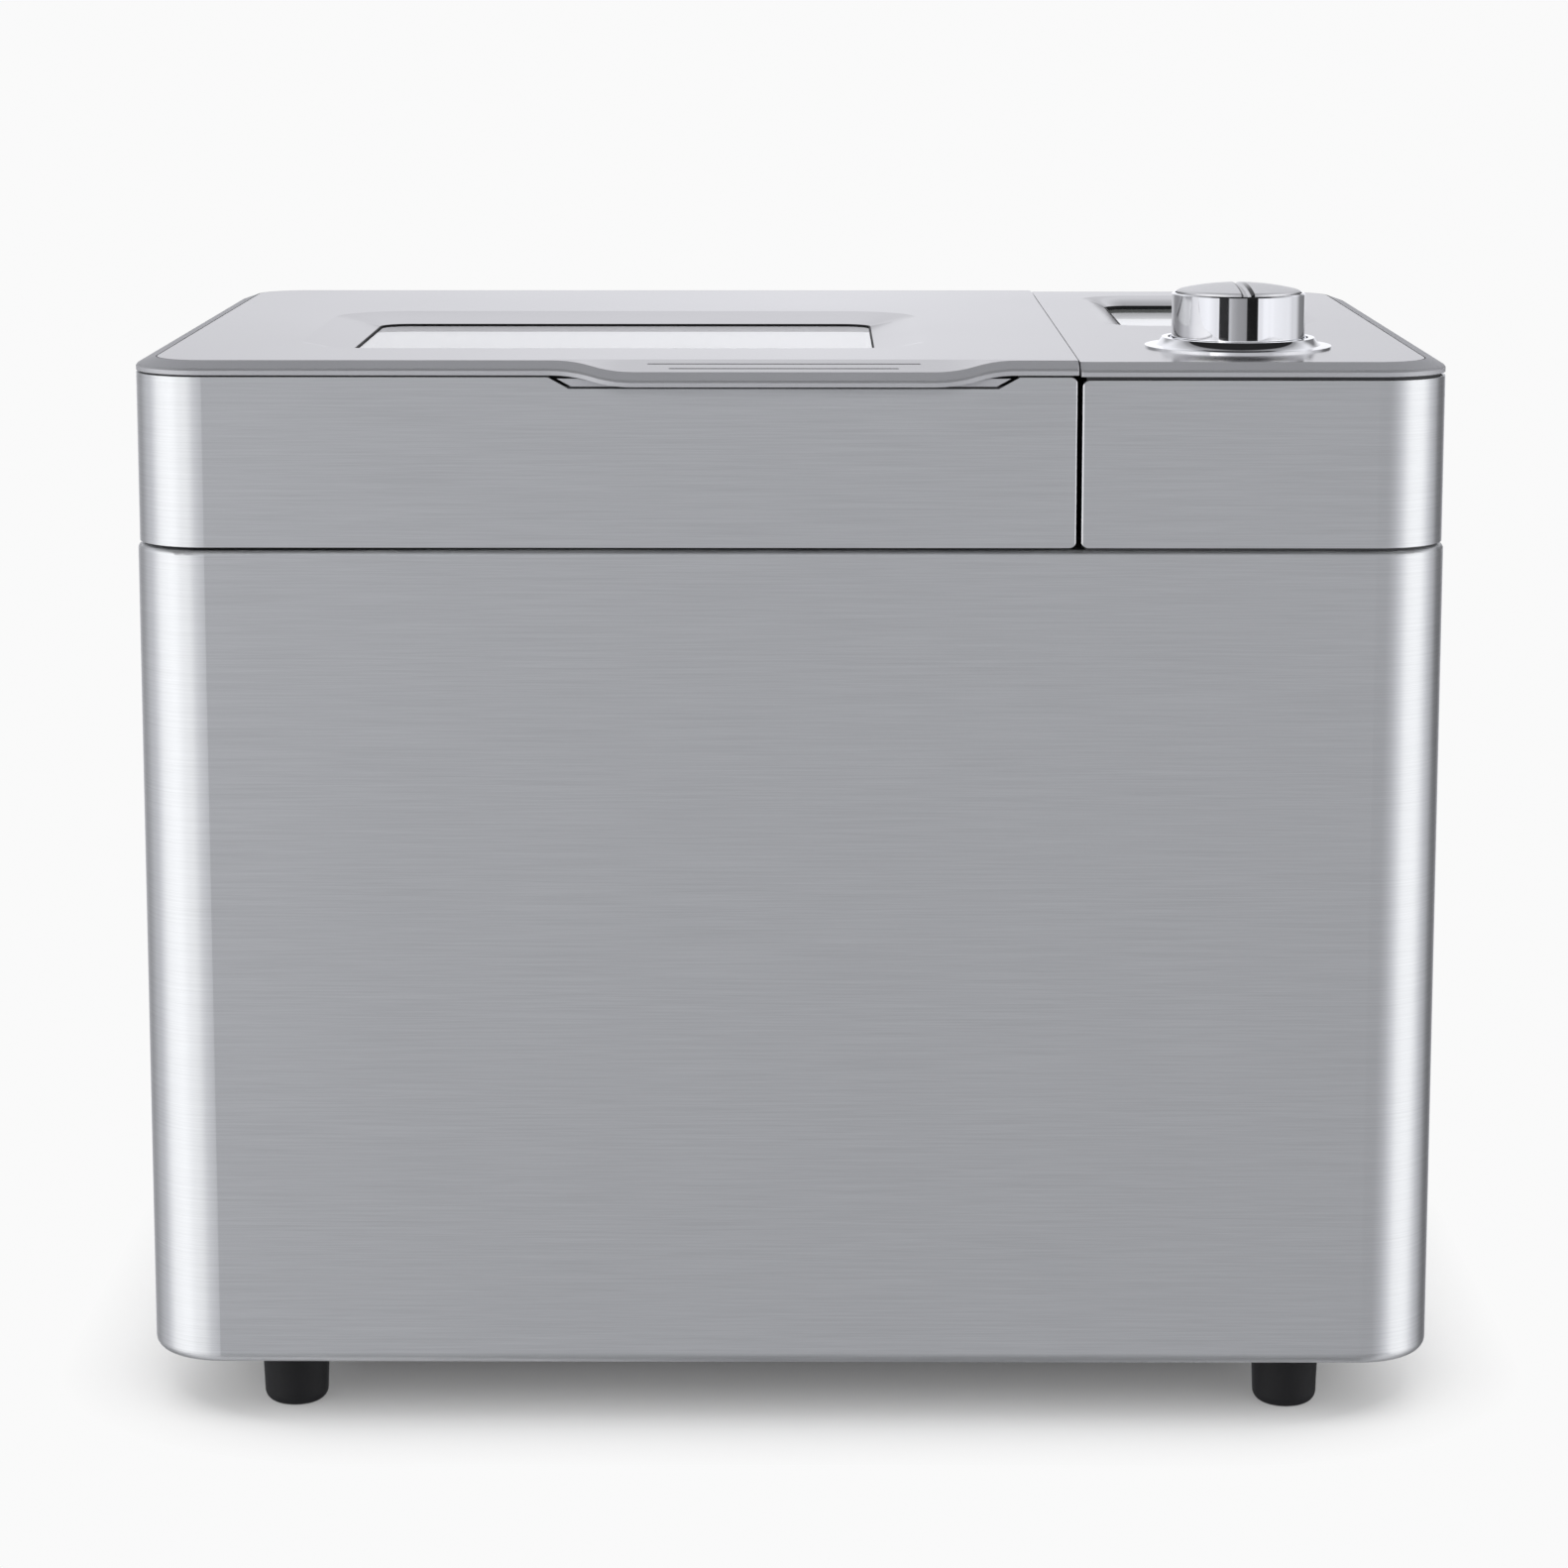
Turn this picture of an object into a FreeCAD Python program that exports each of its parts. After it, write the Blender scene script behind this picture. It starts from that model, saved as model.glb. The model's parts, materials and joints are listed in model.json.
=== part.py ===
"""Bread machine: brushed casing, hinged lid with window, control housing with knob, pan, paddle and belt drive."""
import FreeCAD, Part
import math
import os
from FreeCAD import Vector

# Clearances shared by every piece
FIT = 0.3
RUNNING = 0.06
CONTACT = 0.4

# Casing, with x to the right, y to the rear and z up
BODY_WIDTH = 381.0
BODY_DEPTH = 279.0
BODY_CORNER = 22.0
GROUND_GAP = 18.7
CASING_HEIGHT = 243.0
CASING_WALL = 1.2
TOP_FLANGE = 5.0
BOTTOM_FLANGE = 9.0
SHOULDER_ROUND = 1.5
BOTTOM_ROUND = 3.5
FOOT_RADIUS = 10.2
FOOT_TAPER = 0.8
FOOT_ROUND = 3.6
FOOT_INSET_X = 41.5
FOOT_INSET_Y = 24.5
BASE_THICKNESS = 3.0
BASE_RIM_HEIGHT = 12.0
BASE_RIM_WALL = 2.2

# Lid and control housing above the seam
UPPER_INSET = 0.5
SEAM_GAP = 0.9
BAND_HEIGHT = 49.1
BAND_GAP = 0.6
BAND_WALL = 1.0
BAND_RETURN = 9.0
RIM_FACE = 1.75
RIM_SOFT = 0.5
RIM_CHAMFER_H = 2.0
RIM_CHAMFER_W = 5.7
RIM_SPLIT_WALL = 1.5
SPLIT_X = 82.9
SPLIT_GAP = 0.5
BAND_SPLIT = 0.4
SPLIT_CORNER = 0.7
SPLIT_EDGE = 2.2
PLATE = 1.5
PLATE_GROOVE = 0.4
FRAME_WALL = 2.2

# Finger lip at the lid's front
LIP_X = -1.8
LIP_REACH = 5.0
LIP_DROP = 2.9
LIP_FLAT = 86.0
LIP_BLEND = 24.0
APRON_DEPTH = 9.0
GROOVE_REAR = 6.1
GROOVE_FRONT = 3.05
GROOVE_LONG = 78.5
GROOVE_SHORT = 66.0
GROOVE_WIDTH = 0.7
GROOVE_DEPTH = 0.5
NOTCH_TOP = 135.0
NOTCH_FLOOR = 123.0
NOTCH_GAP = 1.0
NOTCH_LINE = 0.7
GRIP_SHEET = 1.2

# Lid window and liner
WINDOW_WIDTH = 158.0
WINDOW_DEPTH = 108.0
WINDOW_SETBACK = 60.0
WINDOW_CORNER = 9.0
WINDOW_DROP = 3.0
WINDOW_SLOPE = 15.0
WINDOW_LIP = 0.4
WINDOW_BOW = 1.1
DISH_STEPS = 5
DISH_RUNOUT = 0.06
DISH_FLANGE = 3.0
GASKET_LIP = 0.5
GLASS = 3.0
GLASS_LAP = 7.0
GASKET = 1.5
FRAME_WEB = 2.3
LINER = 1.0
LINER_CEILING_DROP = 13.2
DOME_INSET = 4.0
DOME_ROUND = 6.0
SEAL_WIDTH = 5.0
SEAM_RIB = 1.4

# Hinge
HINGE_R = 11.0
HINGE_SPREAD = 172.0
EAR_WIDTH = 14.0
EAR_HALF_DEPTH = 5.0
PIN_RADIUS = 2.5
PIN_GRIP = 8.0

# Control top
PANEL_SHIFT = 3.2
PANEL_STEP = 0.4
PANEL_BAND_STEP = 0.9
DISPLAY_WIDTH = 54.6
DISPLAY_DEPTH = 108.0
DISPLAY_REAR = 32.0
DISPLAY_CORNER = 8.0
DISPLAY_DROP = 2.8
DISPLAY_SLOPE = 9.0
DISPLAY_LIP = 1.2
DISPLAY_BOW = 2.0
LENS = 2.0
LENS_LAP = 4.0
BOARD_DROP = 9.5
BOARD_LEFT = 10.9
BOARD_RIGHT = 17.3
BOARD = 1.6
KNOB_SETBACK = 57.0
KNOB_RADIUS = 19.8
KNOB_HEIGHT = 13.6
KNOB_WALL = 2.0
KNOB_PRESS = 1.0
KNOB_CAP = 3.5
KNOB_LIP = 1.0
CAP_GAP = 0.45
CAP_PROUD = 0.95
CAP_BEVEL = 0.9
CAP_CROWN = 2.0
POINTER_FRONT = 4.1
POINTER_BACK = 2.0
POINTER_DEPTH = 0.9
POINTER_TURN = 3.2
POINTER_STEPS = 6
KNOB_BASE_RADIUS = 27.75
KNOB_BASE_RISE = 2.95
KNOB_BASE_EDGE = 0.5
FLANGE_WIDTH = 3.15
FLANGE_RISE = 0.25
FLARE_SAG = 0.14
SHAFT_RADIUS = 3.0
SHAFT_FLAT = 1.0
PLUNGER = 1.6
ENCODER_WIDTH = 13.0
ENCODER_HEIGHT = 7.0

# Deck, chamber and heater
DECK = 4.0
CHAMBER_FORWARD = 12.75
CHAMBER_WIDTH = 226.0
CHAMBER_DEPTH = 188.0
CHAMBER_CORNER = 18.0
CHAMBER_WALL = 1.0
CHAMBER_FLANGE = 8.0
CHAMBER_FLOOR = 57.0
CHAMBER_ROUND = 8.0
SHIELD_GAP = 4.0
SHIELD = 1.0
SHIELD_FOLD = 8.0
SENSOR_OFFSET = 50.0
SENSOR_DROP = 60.0
SENSOR_REACH = 8.0
SENSOR_COLLAR = 2.0
HEATER_RADIUS = 3.2
HEATER_Z = 84.0
HEATER_GAP = 12.0
HEATER_BEND = 16.0
HEATER_LEAD = 24.0
CLIP = 1.2
CLIP_FOOT = 12.0
CLIP_RIM = 1.6

# Pan and paddle
PAN_WIDTH = 182.0
PAN_DEPTH = 132.0
PAN_HEIGHT = 142.0
PAN_CORNER = 22.0
PAN_DRAFT = 4.0
PAN_WALL = 1.2
PAN_RIM = 3.5
PAN_RIM_HEIGHT = 2.2
PAN_BASE_HEIGHT = 13.0
PAN_COLLAR_RADIUS = 36.5
PAN_COLLAR_WALL = 4.5
PAN_COLLAR_FLANGE = 7.0
PAN_BASE_PLATE = 3.0
PAN_FLOOR_ROUND = 7.0
SEAT_RISE = 5.0
SEAT_WALL = 3.0
SEAT_CATCH = 7.0
SEAT_FLANGE = 9.0
SEAT_FLANGE_EDGE = 2.5
BUSH_PROUD = 1.5
EAR_TAIL = 30.0
EAR_STEP = 8.0
EAR_WIDE = 16.0
EAR_EYE = 3.0
HANDLE_BEND = 4.0
EAR_SHEET = 1.6
WIRE_RADIUS = 2.4
HANDLE_REACH = 66.0
HANDLE_OUT = 7.0
PADDLE_LENGTH = 46.0
PADDLE_HEIGHT = 28.0
PADDLE_BLADE = 7.0
PADDLE_HUB_RADIUS = 10.0

# Belt drive and motor
AXLE_RADIUS = 4.0
BUSH_RADIUS = 7.0
BUSH_LENGTH = 6.0
HOUSING_LENGTH = 17.0
HOUSING_WALL = 5.0
HOUSING_FLANGE = 18.0
HOUSING_FLANGE_EDGE = 3.0
DOG_RADIUS = 15.0
DOG_PLATE = 3.0
DOG_LUG = 6.0
DOG_LUG_SPAN = 56.0
DRIVEN_PULLEY_RADIUS = 45.0
BELT_RATIO = 5.0
BELT_RIBS = 4
RIB_PITCH = 2.0
RIB_DEPTH = 1.6
BELT_BACK = 1.4
BELT_CLEARANCE = 0.5
MOTOR_GAP = 8.7
MOTOR_WIDTH = 76.0
STACK_HEIGHT = 36.0
ROTOR_RADIUS = 21.0
BELL_HEIGHT = 14.0
BRACKET = 2.5
GROMMET_HEIGHT = 8.0
GROMMET_RADIUS = 7.0

# Electrics
POWER_BOARD_X = 66.0
POWER_BOARD_Y = 46.0
POWER_MARGIN = 14.0
STANDOFF_HEIGHT = 12.0
CORD_RADIUS = 3.8
GLAND_WALL = 2.4
GLAND_Z = 48.0

# Levels and planes that follow from the sizes above
X_LEFT = -BODY_WIDTH / 2
X_RIGHT = BODY_WIDTH / 2
Y_FRONT = LIP_REACH - (LIP_REACH + BODY_DEPTH) / 2
Y_REAR = Y_FRONT + BODY_DEPTH
CHAMBER_Y = (Y_FRONT + Y_REAR) / 2 - CHAMBER_FORWARD
Z_BASE = GROUND_GAP + CASING_WALL
Z_BASE_TOP = Z_BASE + BASE_THICKNESS
Z_DECK = GROUND_GAP + CASING_HEIGHT
Z_DECK_LOW = Z_DECK - DECK
Z_BAND = Z_DECK + SEAM_GAP
Z_BAND_TOP = Z_BAND + BAND_HEIGHT
Z_RIM = Z_BAND_TOP + BAND_GAP
Z_TOP = Z_RIM + RIM_FACE + RIM_CHAMFER_H
Z_PANEL = Z_TOP - PANEL_STEP
Z_PANEL_RIM = Z_RIM - PANEL_STEP
Z_PANEL_BAND = Z_BAND_TOP - PANEL_BAND_STEP
Z_NOTCH = Z_RIM - LIP_DROP - NOTCH_GAP
UPPER_FRONT = Y_FRONT + UPPER_INSET
UPPER_REAR = Y_REAR - UPPER_INSET
UPPER_CORNER = BODY_CORNER - UPPER_INSET
HINGE_Y = UPPER_REAR - HINGE_R
HINGE_Z = Z_BAND + HINGE_R
Z_LINER = Z_BAND + FIT + LINER
Z_CEILING = Z_RIM - LINER_CEILING_DROP
Z_BOARD = Z_RIM - BOARD_DROP
KNOB_Y = UPPER_FRONT + KNOB_SETBACK
Z_KNOB = Z_PANEL + KNOB_BASE_RISE - CONTACT
Z_CHAMBER = CHAMBER_FLOOR + CHAMBER_WALL
Z_SEAT = Z_CHAMBER + SEAT_RISE
Z_PAN = Z_SEAT + PAN_BASE_HEIGHT
Z_PAN_RIM = Z_PAN + PAN_HEIGHT
Z_PIVOT = Z_PAN_RIM + WIRE_RADIUS + CONTACT
Z_DOG = Z_CHAMBER + 1.0
Z_DOG_TOP = Z_DOG + DOG_PLATE + DOG_LUG
Z_HOUSING = CHAMBER_FLOOR - HOUSING_LENGTH
BELT_WIDTH = BELT_RIBS * RIB_PITCH
Z_PULLEY_TOP = Z_HOUSING - CONTACT
Z_PULLEY = Z_PULLEY_TOP - BELT_WIDTH - 2.0
MOTOR_PULLEY_RADIUS = DRIVEN_PULLEY_RADIUS / BELT_RATIO
Z_BRACKET = Z_PULLEY_TOP + 5.0
Z_MOTOR = Z_BRACKET + BRACKET
Z_STACK = Z_MOTOR + BELL_HEIGHT
Z_STACK_TOP = Z_STACK + STACK_HEIGHT
Z_MOTOR_TOP = Z_STACK_TOP + BELL_HEIGHT
Z_GLASS = Z_TOP - WINDOW_DROP - WINDOW_LIP
Z_LENS_TOP = Z_PANEL - DISPLAY_DROP - DISPLAY_LIP
Z_LENS = Z_LENS_TOP - LENS


class Plan:
    """Rounded rectangle seen from above, with an optional split side that can be pulled in separately."""

    def __init__(self, left, right, front, rear, corners, split=None):
        self.left = left
        self.right = right
        self.front = front
        self.rear = rear
        self.corners = corners
        self.split = split

    def inset(self, by, split_by=None):
        """Same shape pulled in on every side; a negative value lets it out."""
        at_split = by if split_by is None else split_by
        left = at_split if self.split == "left" else by
        right = at_split if self.split == "right" else by
        by_side = [max(by, left), max(by, right), max(by, right), max(by, left)]
        if self.split == "left":
            by_side[0] = by_side[3] = min(by, at_split)
        if self.split == "right":
            by_side[1] = by_side[2] = min(by, at_split)
        corners = [max(corner - cut, 0.2) for corner, cut in zip(self.corners, by_side)]
        return Plan(self.left + left, self.right - right, self.front + by, self.rear - by, corners, self.split)

    def wire(self, level):
        """Closed outline at a height."""
        front_left, front_right, rear_right, rear_left = self.corners
        spots = [
            (self.left, self.front, 180.0, front_left, 1, 1),
            (self.right, self.front, 270.0, front_right, -1, 1),
            (self.right, self.rear, 0.0, rear_right, -1, -1),
            (self.left, self.rear, 90.0, rear_left, 1, -1),
        ]
        arcs = []
        for x, y, start, radius, to_x, to_y in spots:
            centre = Vector(x + to_x * radius, y + to_y * radius, level)
            arcs.append(Part.makeCircle(radius, centre, Vector(0, 0, 1), start, start + 90.0))
        edges = []
        for index, arc in enumerate(arcs):
            following = arcs[(index + 1) % 4]
            edges.append(arc)
            edges.append(Part.makeLine(arc.Vertexes[-1].Point, following.Vertexes[0].Point))
        return Part.Wire(edges)

    def prism(self, low, high):
        """Upright block over the outline."""
        return Part.Face(self.wire(low)).extrude(Vector(0, 0, high - low))


def plan_about(x, y, width, depth, corner):
    """Rounded rectangle about a centre."""
    return Plan(x - width / 2, x + width / 2, y - depth / 2, y + depth / 2, [corner] * 4)


def frustum(lower, low, upper, high):
    """Solid with straight sides from one outline up to another."""
    return Part.makeLoft([lower.wire(low), upper.wire(high)], True, True)


def box(left, right, front, rear, low, high):
    """Block between six planes."""
    return Part.makeBox(right - left, rear - front, high - low, Vector(left, front, low))


def post(radius, x, y, low, high):
    """Upright cylinder."""
    return Part.makeCylinder(radius, high - low, Vector(x, y, low))


def bar(radius, left, right, y, z):
    """Cylinder along x."""
    return Part.makeCylinder(radius, right - left, Vector(left, y, z), Vector(1, 0, 0))


def sleeve(outer, inner, x, y, low, high):
    """Upright tube."""
    return post(outer, x, y, low, high).cut(post(inner, x, y, low, high))


def turned(profile, x, y):
    """Solid turned about an upright axis from (radius, height) corners."""
    corners = [Vector(x + radius, y, height) for radius, height in profile]
    face = Part.Face(Part.makePolygon(corners + corners[:1]))
    return face.revolve(Vector(x, y, 0), Vector(0, 0, 1), 360)


def seen_from_front(plan, front, rear):
    """Block whose outline is drawn in x and z and runs through in y."""
    face = Part.Face(plan.wire(0))
    face.rotate(Vector(0, 0, 0), Vector(1, 0, 0), 90)
    face.translate(Vector(0, front, 0))
    return face.extrude(Vector(0, rear - front, 0))


def sheet(corners, direction):
    """Flat polygon pushed along a direction."""
    points = [Vector(*corner) for corner in corners]
    return Part.Face(Part.makePolygon(points + points[:1])).extrude(direction)


def joined(shapes):
    """One solid from overlapping or touching pieces."""
    first = shapes[0]
    return first.fuse(shapes[1:]).removeSplitter() if len(shapes) > 1 else first


def group(shapes):
    """Separate solids kept in one node."""
    return Part.makeCompound(shapes)


def edges_at(shape, level):
    """Edges that lie wholly at one height."""
    flat = []
    for edge in shape.Edges:
        bounds = edge.BoundBox
        if abs(bounds.ZMin - level) < 1e-4 and abs(bounds.ZMax - level) < 1e-4:
            flat.append(edge)
    return flat


def rounded_path(points, bend):
    """Open run of straight lines through the points with every inner corner bent to a radius."""
    edges = []
    start = points[0]
    for before, corner, after in zip(points, points[1:], points[2:]):
        back = (before - corner).normalize()
        ahead = (after - corner).normalize()
        half = back.getAngle(ahead) / 2
        reach = bend / math.tan(half)
        middle = (back + ahead).normalize()
        first = corner + back * reach
        last = corner + ahead * reach
        centre = corner + middle * (bend / math.sin(half))
        if (first - start).Length > 1e-6:
            edges.append(Part.makeLine(start, first))
        edges.append(Part.Arc(first, centre - middle * bend, last).toShape())
        start = last
    edges.append(Part.makeLine(start, points[-1]))
    return Part.Wire(edges)


def tube_along(path, radius):
    """Round bar swept along a path."""
    start = path.Edges[0]
    heading = start.tangentAt(start.FirstParameter)
    ring = Part.Wire(Part.makeCircle(radius, start.Vertexes[0].Point, heading))
    return path.makePipeShell([ring], True, False)


def slot(width, length, front, rear, x, z):
    """Upright round-ended hole running through in y."""
    half = width / 2
    return seen_from_front(Plan(x - half, x + half, z - length / 2, z + length / 2, [half - 0.01] * 4), front, rear)


BODY = Plan(X_LEFT, X_RIGHT, Y_FRONT, Y_REAR, [BODY_CORNER] * 4)
LID = Plan(
    X_LEFT + UPPER_INSET,
    SPLIT_X - SPLIT_GAP / 2,
    UPPER_FRONT,
    UPPER_REAR,
    [UPPER_CORNER, SPLIT_CORNER, SPLIT_CORNER, UPPER_CORNER],
    "right",
)
CONTROL = Plan(
    SPLIT_X + SPLIT_GAP / 2,
    X_RIGHT - UPPER_INSET,
    UPPER_FRONT,
    UPPER_REAR,
    [SPLIT_CORNER, UPPER_CORNER, UPPER_CORNER, SPLIT_CORNER],
    "left",
)
LID_X = (LID.left + LID.right) / 2
CHAMBER = plan_about(LID_X, CHAMBER_Y, CHAMBER_WIDTH, CHAMBER_DEPTH, CHAMBER_CORNER)
PAN = plan_about(LID_X, CHAMBER_Y, PAN_WIDTH, PAN_DEPTH, PAN_CORNER)
WINDOW = plan_about(
    LID_X, UPPER_FRONT + WINDOW_SETBACK + WINDOW_DEPTH / 2, WINDOW_WIDTH, WINDOW_DEPTH, WINDOW_CORNER
)
PANEL_X = (CONTROL.left + CONTROL.right) / 2 - PANEL_SHIFT
DISPLAY = plan_about(
    PANEL_X, UPPER_REAR - DISPLAY_REAR - DISPLAY_DEPTH / 2, DISPLAY_WIDTH, DISPLAY_DEPTH, DISPLAY_CORNER
)
DOME = CHAMBER.inset(DOME_INSET)
SHIELD_X = CHAMBER.right + CHAMBER_FLANGE + SHIELD_GAP
MOTOR_X = SHIELD_X + MOTOR_GAP + MOTOR_WIDTH / 2
HINGE_XS = (LID_X - HINGE_SPREAD / 2, LID_X + HINGE_SPREAD / 2)
FOOT_SPOTS = [
    (x, y)
    for x in (X_LEFT + FOOT_INSET_X, X_RIGHT - FOOT_INSET_X)
    for y in (Y_FRONT + FOOT_INSET_Y, Y_REAR - FOOT_INSET_Y)
]
MOUNT_OFFSET = MOTOR_WIDTH / 2 - 6.0
MOUNT_SPOTS = [
    (MOTOR_X + dx, CHAMBER_Y + dy) for dx in (-MOUNT_OFFSET, MOUNT_OFFSET) for dy in (-MOUNT_OFFSET, MOUNT_OFFSET)
]
POWER = Plan(
    X_RIGHT - POWER_MARGIN - POWER_BOARD_X,
    X_RIGHT - POWER_MARGIN,
    Y_FRONT + POWER_MARGIN,
    Y_FRONT + POWER_MARGIN + POWER_BOARD_Y,
    [2.0] * 4,
)
STANDOFF_SPOTS = [
    (x, y) for x in (POWER.left + 5.0, POWER.right - 5.0) for y in (POWER.front + 5.0, POWER.rear - 5.0)
]
GLAND_X = X_RIGHT - BODY_CORNER - 16.0


def casing():
    """Stainless wrap with turned-in edges, rear vents and the cord hole."""
    shell = BODY.prism(GROUND_GAP, Z_DECK)
    shell = shell.makeFillet(SHOULDER_ROUND, edges_at(shell, Z_DECK))
    shell = shell.makeFillet(BOTTOM_ROUND, edges_at(shell, GROUND_GAP))
    room = BODY.inset(CASING_WALL).prism(Z_BASE, Z_DECK - CASING_WALL)
    room = room.makeFillet(SHOULDER_ROUND - CASING_WALL, edges_at(room, Z_DECK - CASING_WALL))
    room = room.makeFillet(BOTTOM_ROUND - CASING_WALL, edges_at(room, Z_BASE))
    mouth = BODY.inset(TOP_FLANGE).prism(Z_DECK - 2 * CASING_WALL, Z_DECK + 1)
    floor = BODY.inset(BOTTOM_FLANGE).prism(GROUND_GAP - 1, Z_BASE + 1)
    vents = [
        slot(3.2, 44.0, Y_REAR - 2 * CASING_WALL, Y_REAR + 1, MOTOR_X + 8.0 * step, Z_STACK_TOP)
        for step in range(-4, 5)
    ]
    gland = Part.makeCylinder(
        CORD_RADIUS + GLAND_WALL + FIT, 9, Vector(GLAND_X, Y_REAR - 6, GLAND_Z), Vector(0, 1, 0)
    )
    return shell.cut([room, mouth, floor, gland] + vents)


def base_plate():
    """Moulded floor with an upstanding rim, motor bosses, board standoffs and cooling slots."""
    outline = BODY.inset(BOTTOM_ROUND + FIT)
    pieces = [outline.prism(Z_BASE, Z_BASE_TOP)]
    rim = outline.prism(Z_BASE, Z_BASE + BASE_RIM_HEIGHT)
    pieces.append(rim.cut(outline.inset(BASE_RIM_WALL).prism(Z_BASE, Z_BASE + BASE_RIM_HEIGHT)))
    for x, y in MOUNT_SPOTS:
        pieces.append(post(GROMMET_RADIUS - 1.0, x, y, Z_BASE, Z_BRACKET - GROMMET_HEIGHT))
    for x, y in STANDOFF_SPOTS:
        pieces.append(post(3.5, x, y, Z_BASE, Z_BASE_TOP + STANDOFF_HEIGHT))
    vents = []
    for step in range(-3, 4):
        middle = MOTOR_X + 7.0 * step
        vents.append(Plan(middle - 1.6, middle + 1.6, CHAMBER_Y - 18, CHAMBER_Y + 18, [1.5] * 4).prism(0, Z_BASE_TOP))
    return joined(pieces).cut(vents)


def feet():
    """Four rubber feet with rounded soles."""
    pieces = []
    for x, y in FOOT_SPOTS:
        foot = Part.makeCone(FOOT_RADIUS - FOOT_TAPER, FOOT_RADIUS, Z_BASE, Vector(x, y, 0))
        pieces.append(foot.makeFillet(FOOT_ROUND, edges_at(foot, 0)))
    return group(pieces)


def cord_gland():
    """Bush in the rear wall for the mains cord."""
    radius = CORD_RADIUS + GLAND_WALL
    back = Vector(0, 1, 0)
    inside = Y_REAR - CASING_WALL
    nose = Part.makeCylinder(radius, CASING_WALL + 5, Vector(GLAND_X, inside - 5, GLAND_Z), back)
    collar = Part.makeCylinder(radius + 3, 3, Vector(GLAND_X, inside - 3, GLAND_Z), back)
    bore = Part.makeCylinder(CORD_RADIUS, CASING_WALL + 7, Vector(GLAND_X, inside - 6, GLAND_Z), back)
    return joined([nose, collar]).cut(bore)


def top_deck():
    """Moulded deck held under the casing's flange, open for the chamber, the hinge ears and the wiring."""
    raised = BODY.inset(TOP_FLANGE + FIT).prism(Z_DECK_LOW, Z_DECK)
    ledge = BODY.inset(SHOULDER_ROUND + FIT).prism(Z_DECK_LOW, Z_DECK - CASING_WALL)
    cuts = [
        CHAMBER.inset(-FIT).prism(Z_DECK_LOW - 1, Z_DECK + 1),
        CHAMBER.inset(-CHAMBER_FLANGE - FIT).prism(Z_DECK - CHAMBER_WALL, Z_DECK + 1),
        plan_about(PANEL_X, CHAMBER_Y, 60, 120, 8).prism(Z_DECK_LOW - 1, Z_DECK + 1),
    ]
    for x in HINGE_XS:
        half = EAR_WIDTH / 2 + FIT
        reach = EAR_HALF_DEPTH + FIT
        cuts.append(box(x - half, x + half, HINGE_Y - reach, HINGE_Y + reach, Z_DECK_LOW - 1, Z_DECK + 1))
    return joined([raised, ledge, seam_rib()]).cut(cuts)


def seam_rib():
    """Low rib on the deck, inside the lid frame, that darkens the seam."""
    outline = LID.inset(TOP_FLANGE + FIT - UPPER_INSET)
    rib = outline.prism(Z_DECK_LOW, Z_LINER - CONTACT).cut(outline.inset(SEAM_RIB).prism(Z_DECK_LOW - 1, Z_LINER))
    return rib.cut(box(LID.left, LID.right, HINGE_Y - HINGE_R - 3, LID.rear, Z_DECK_LOW - 1, Z_LINER))


def heater_path():
    """Loop around the pan with both ends leaving through the chamber's right wall."""
    loop = CHAMBER.inset(CHAMBER_WALL + HEATER_GAP)
    end = SHIELD_X - 5.0
    run = [
        (end, CHAMBER_Y - HEATER_LEAD),
        (loop.right, CHAMBER_Y - HEATER_LEAD),
        (loop.right, loop.front),
        (loop.left, loop.front),
        (loop.left, loop.rear),
        (loop.right, loop.rear),
        (loop.right, CHAMBER_Y + HEATER_LEAD),
        (end, CHAMBER_Y + HEATER_LEAD),
    ]
    return rounded_path([Vector(x, y, HEATER_Z) for x, y in run], HEATER_BEND / 2)


def heating_element():
    """Sheathed tube heater."""
    return tube_along(heater_path(), HEATER_RADIUS)


def heater_clips():
    """Four pierced brackets that carry the heater off the chamber floor."""
    loop = CHAMBER.inset(CHAMBER_WALL + HEATER_GAP)
    pieces = []
    for x in (LID_X - PAN_WIDTH / 4, LID_X + PAN_WIDTH / 4):
        for y in (loop.front, loop.rear):
            half = HEATER_RADIUS + CLIP_RIM
            upright = box(x, x + CLIP, y - half, y + half, Z_CHAMBER, HEATER_Z + half)
            foot = box(x, x + CLIP_FOOT, y - half, y + half, Z_CHAMBER, Z_CHAMBER + CLIP)
            hole = bar(HEATER_RADIUS + FIT, x - 1, x + CLIP + 1, y, HEATER_Z)
            pieces.append(joined([upright, foot]).cut(hole))
    return group(pieces)


def baking_chamber():
    """Deep-drawn oven liner with a flange that hangs in the deck."""
    outside = CHAMBER.prism(CHAMBER_FLOOR, Z_DECK)
    outside = outside.makeFillet(CHAMBER_ROUND, edges_at(outside, CHAMBER_FLOOR))
    inside = CHAMBER.inset(CHAMBER_WALL).prism(Z_CHAMBER, Z_DECK + 1)
    inside = inside.makeFillet(CHAMBER_ROUND - CHAMBER_WALL, edges_at(inside, Z_CHAMBER))
    flange = CHAMBER.inset(-CHAMBER_FLANGE).prism(Z_DECK - CHAMBER_WALL, Z_DECK)
    cuts = [inside, post(BUSH_RADIUS + 4, LID_X, CHAMBER_Y, CHAMBER_FLOOR - 1, Z_CHAMBER + 1)]
    wall = (CHAMBER.right - 3 * CHAMBER_WALL, CHAMBER.right + CHAMBER_WALL)
    for y in (CHAMBER_Y - HEATER_LEAD, CHAMBER_Y + HEATER_LEAD):
        cuts.append(bar(HEATER_RADIUS + FIT, wall[0], wall[1], y, HEATER_Z))
    cuts.append(bar(SHAFT_RADIUS + FIT, wall[0], wall[1], CHAMBER_Y + SENSOR_OFFSET, Z_PAN_RIM - SENSOR_DROP))
    return joined([outside, flange]).cut(cuts)


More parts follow.
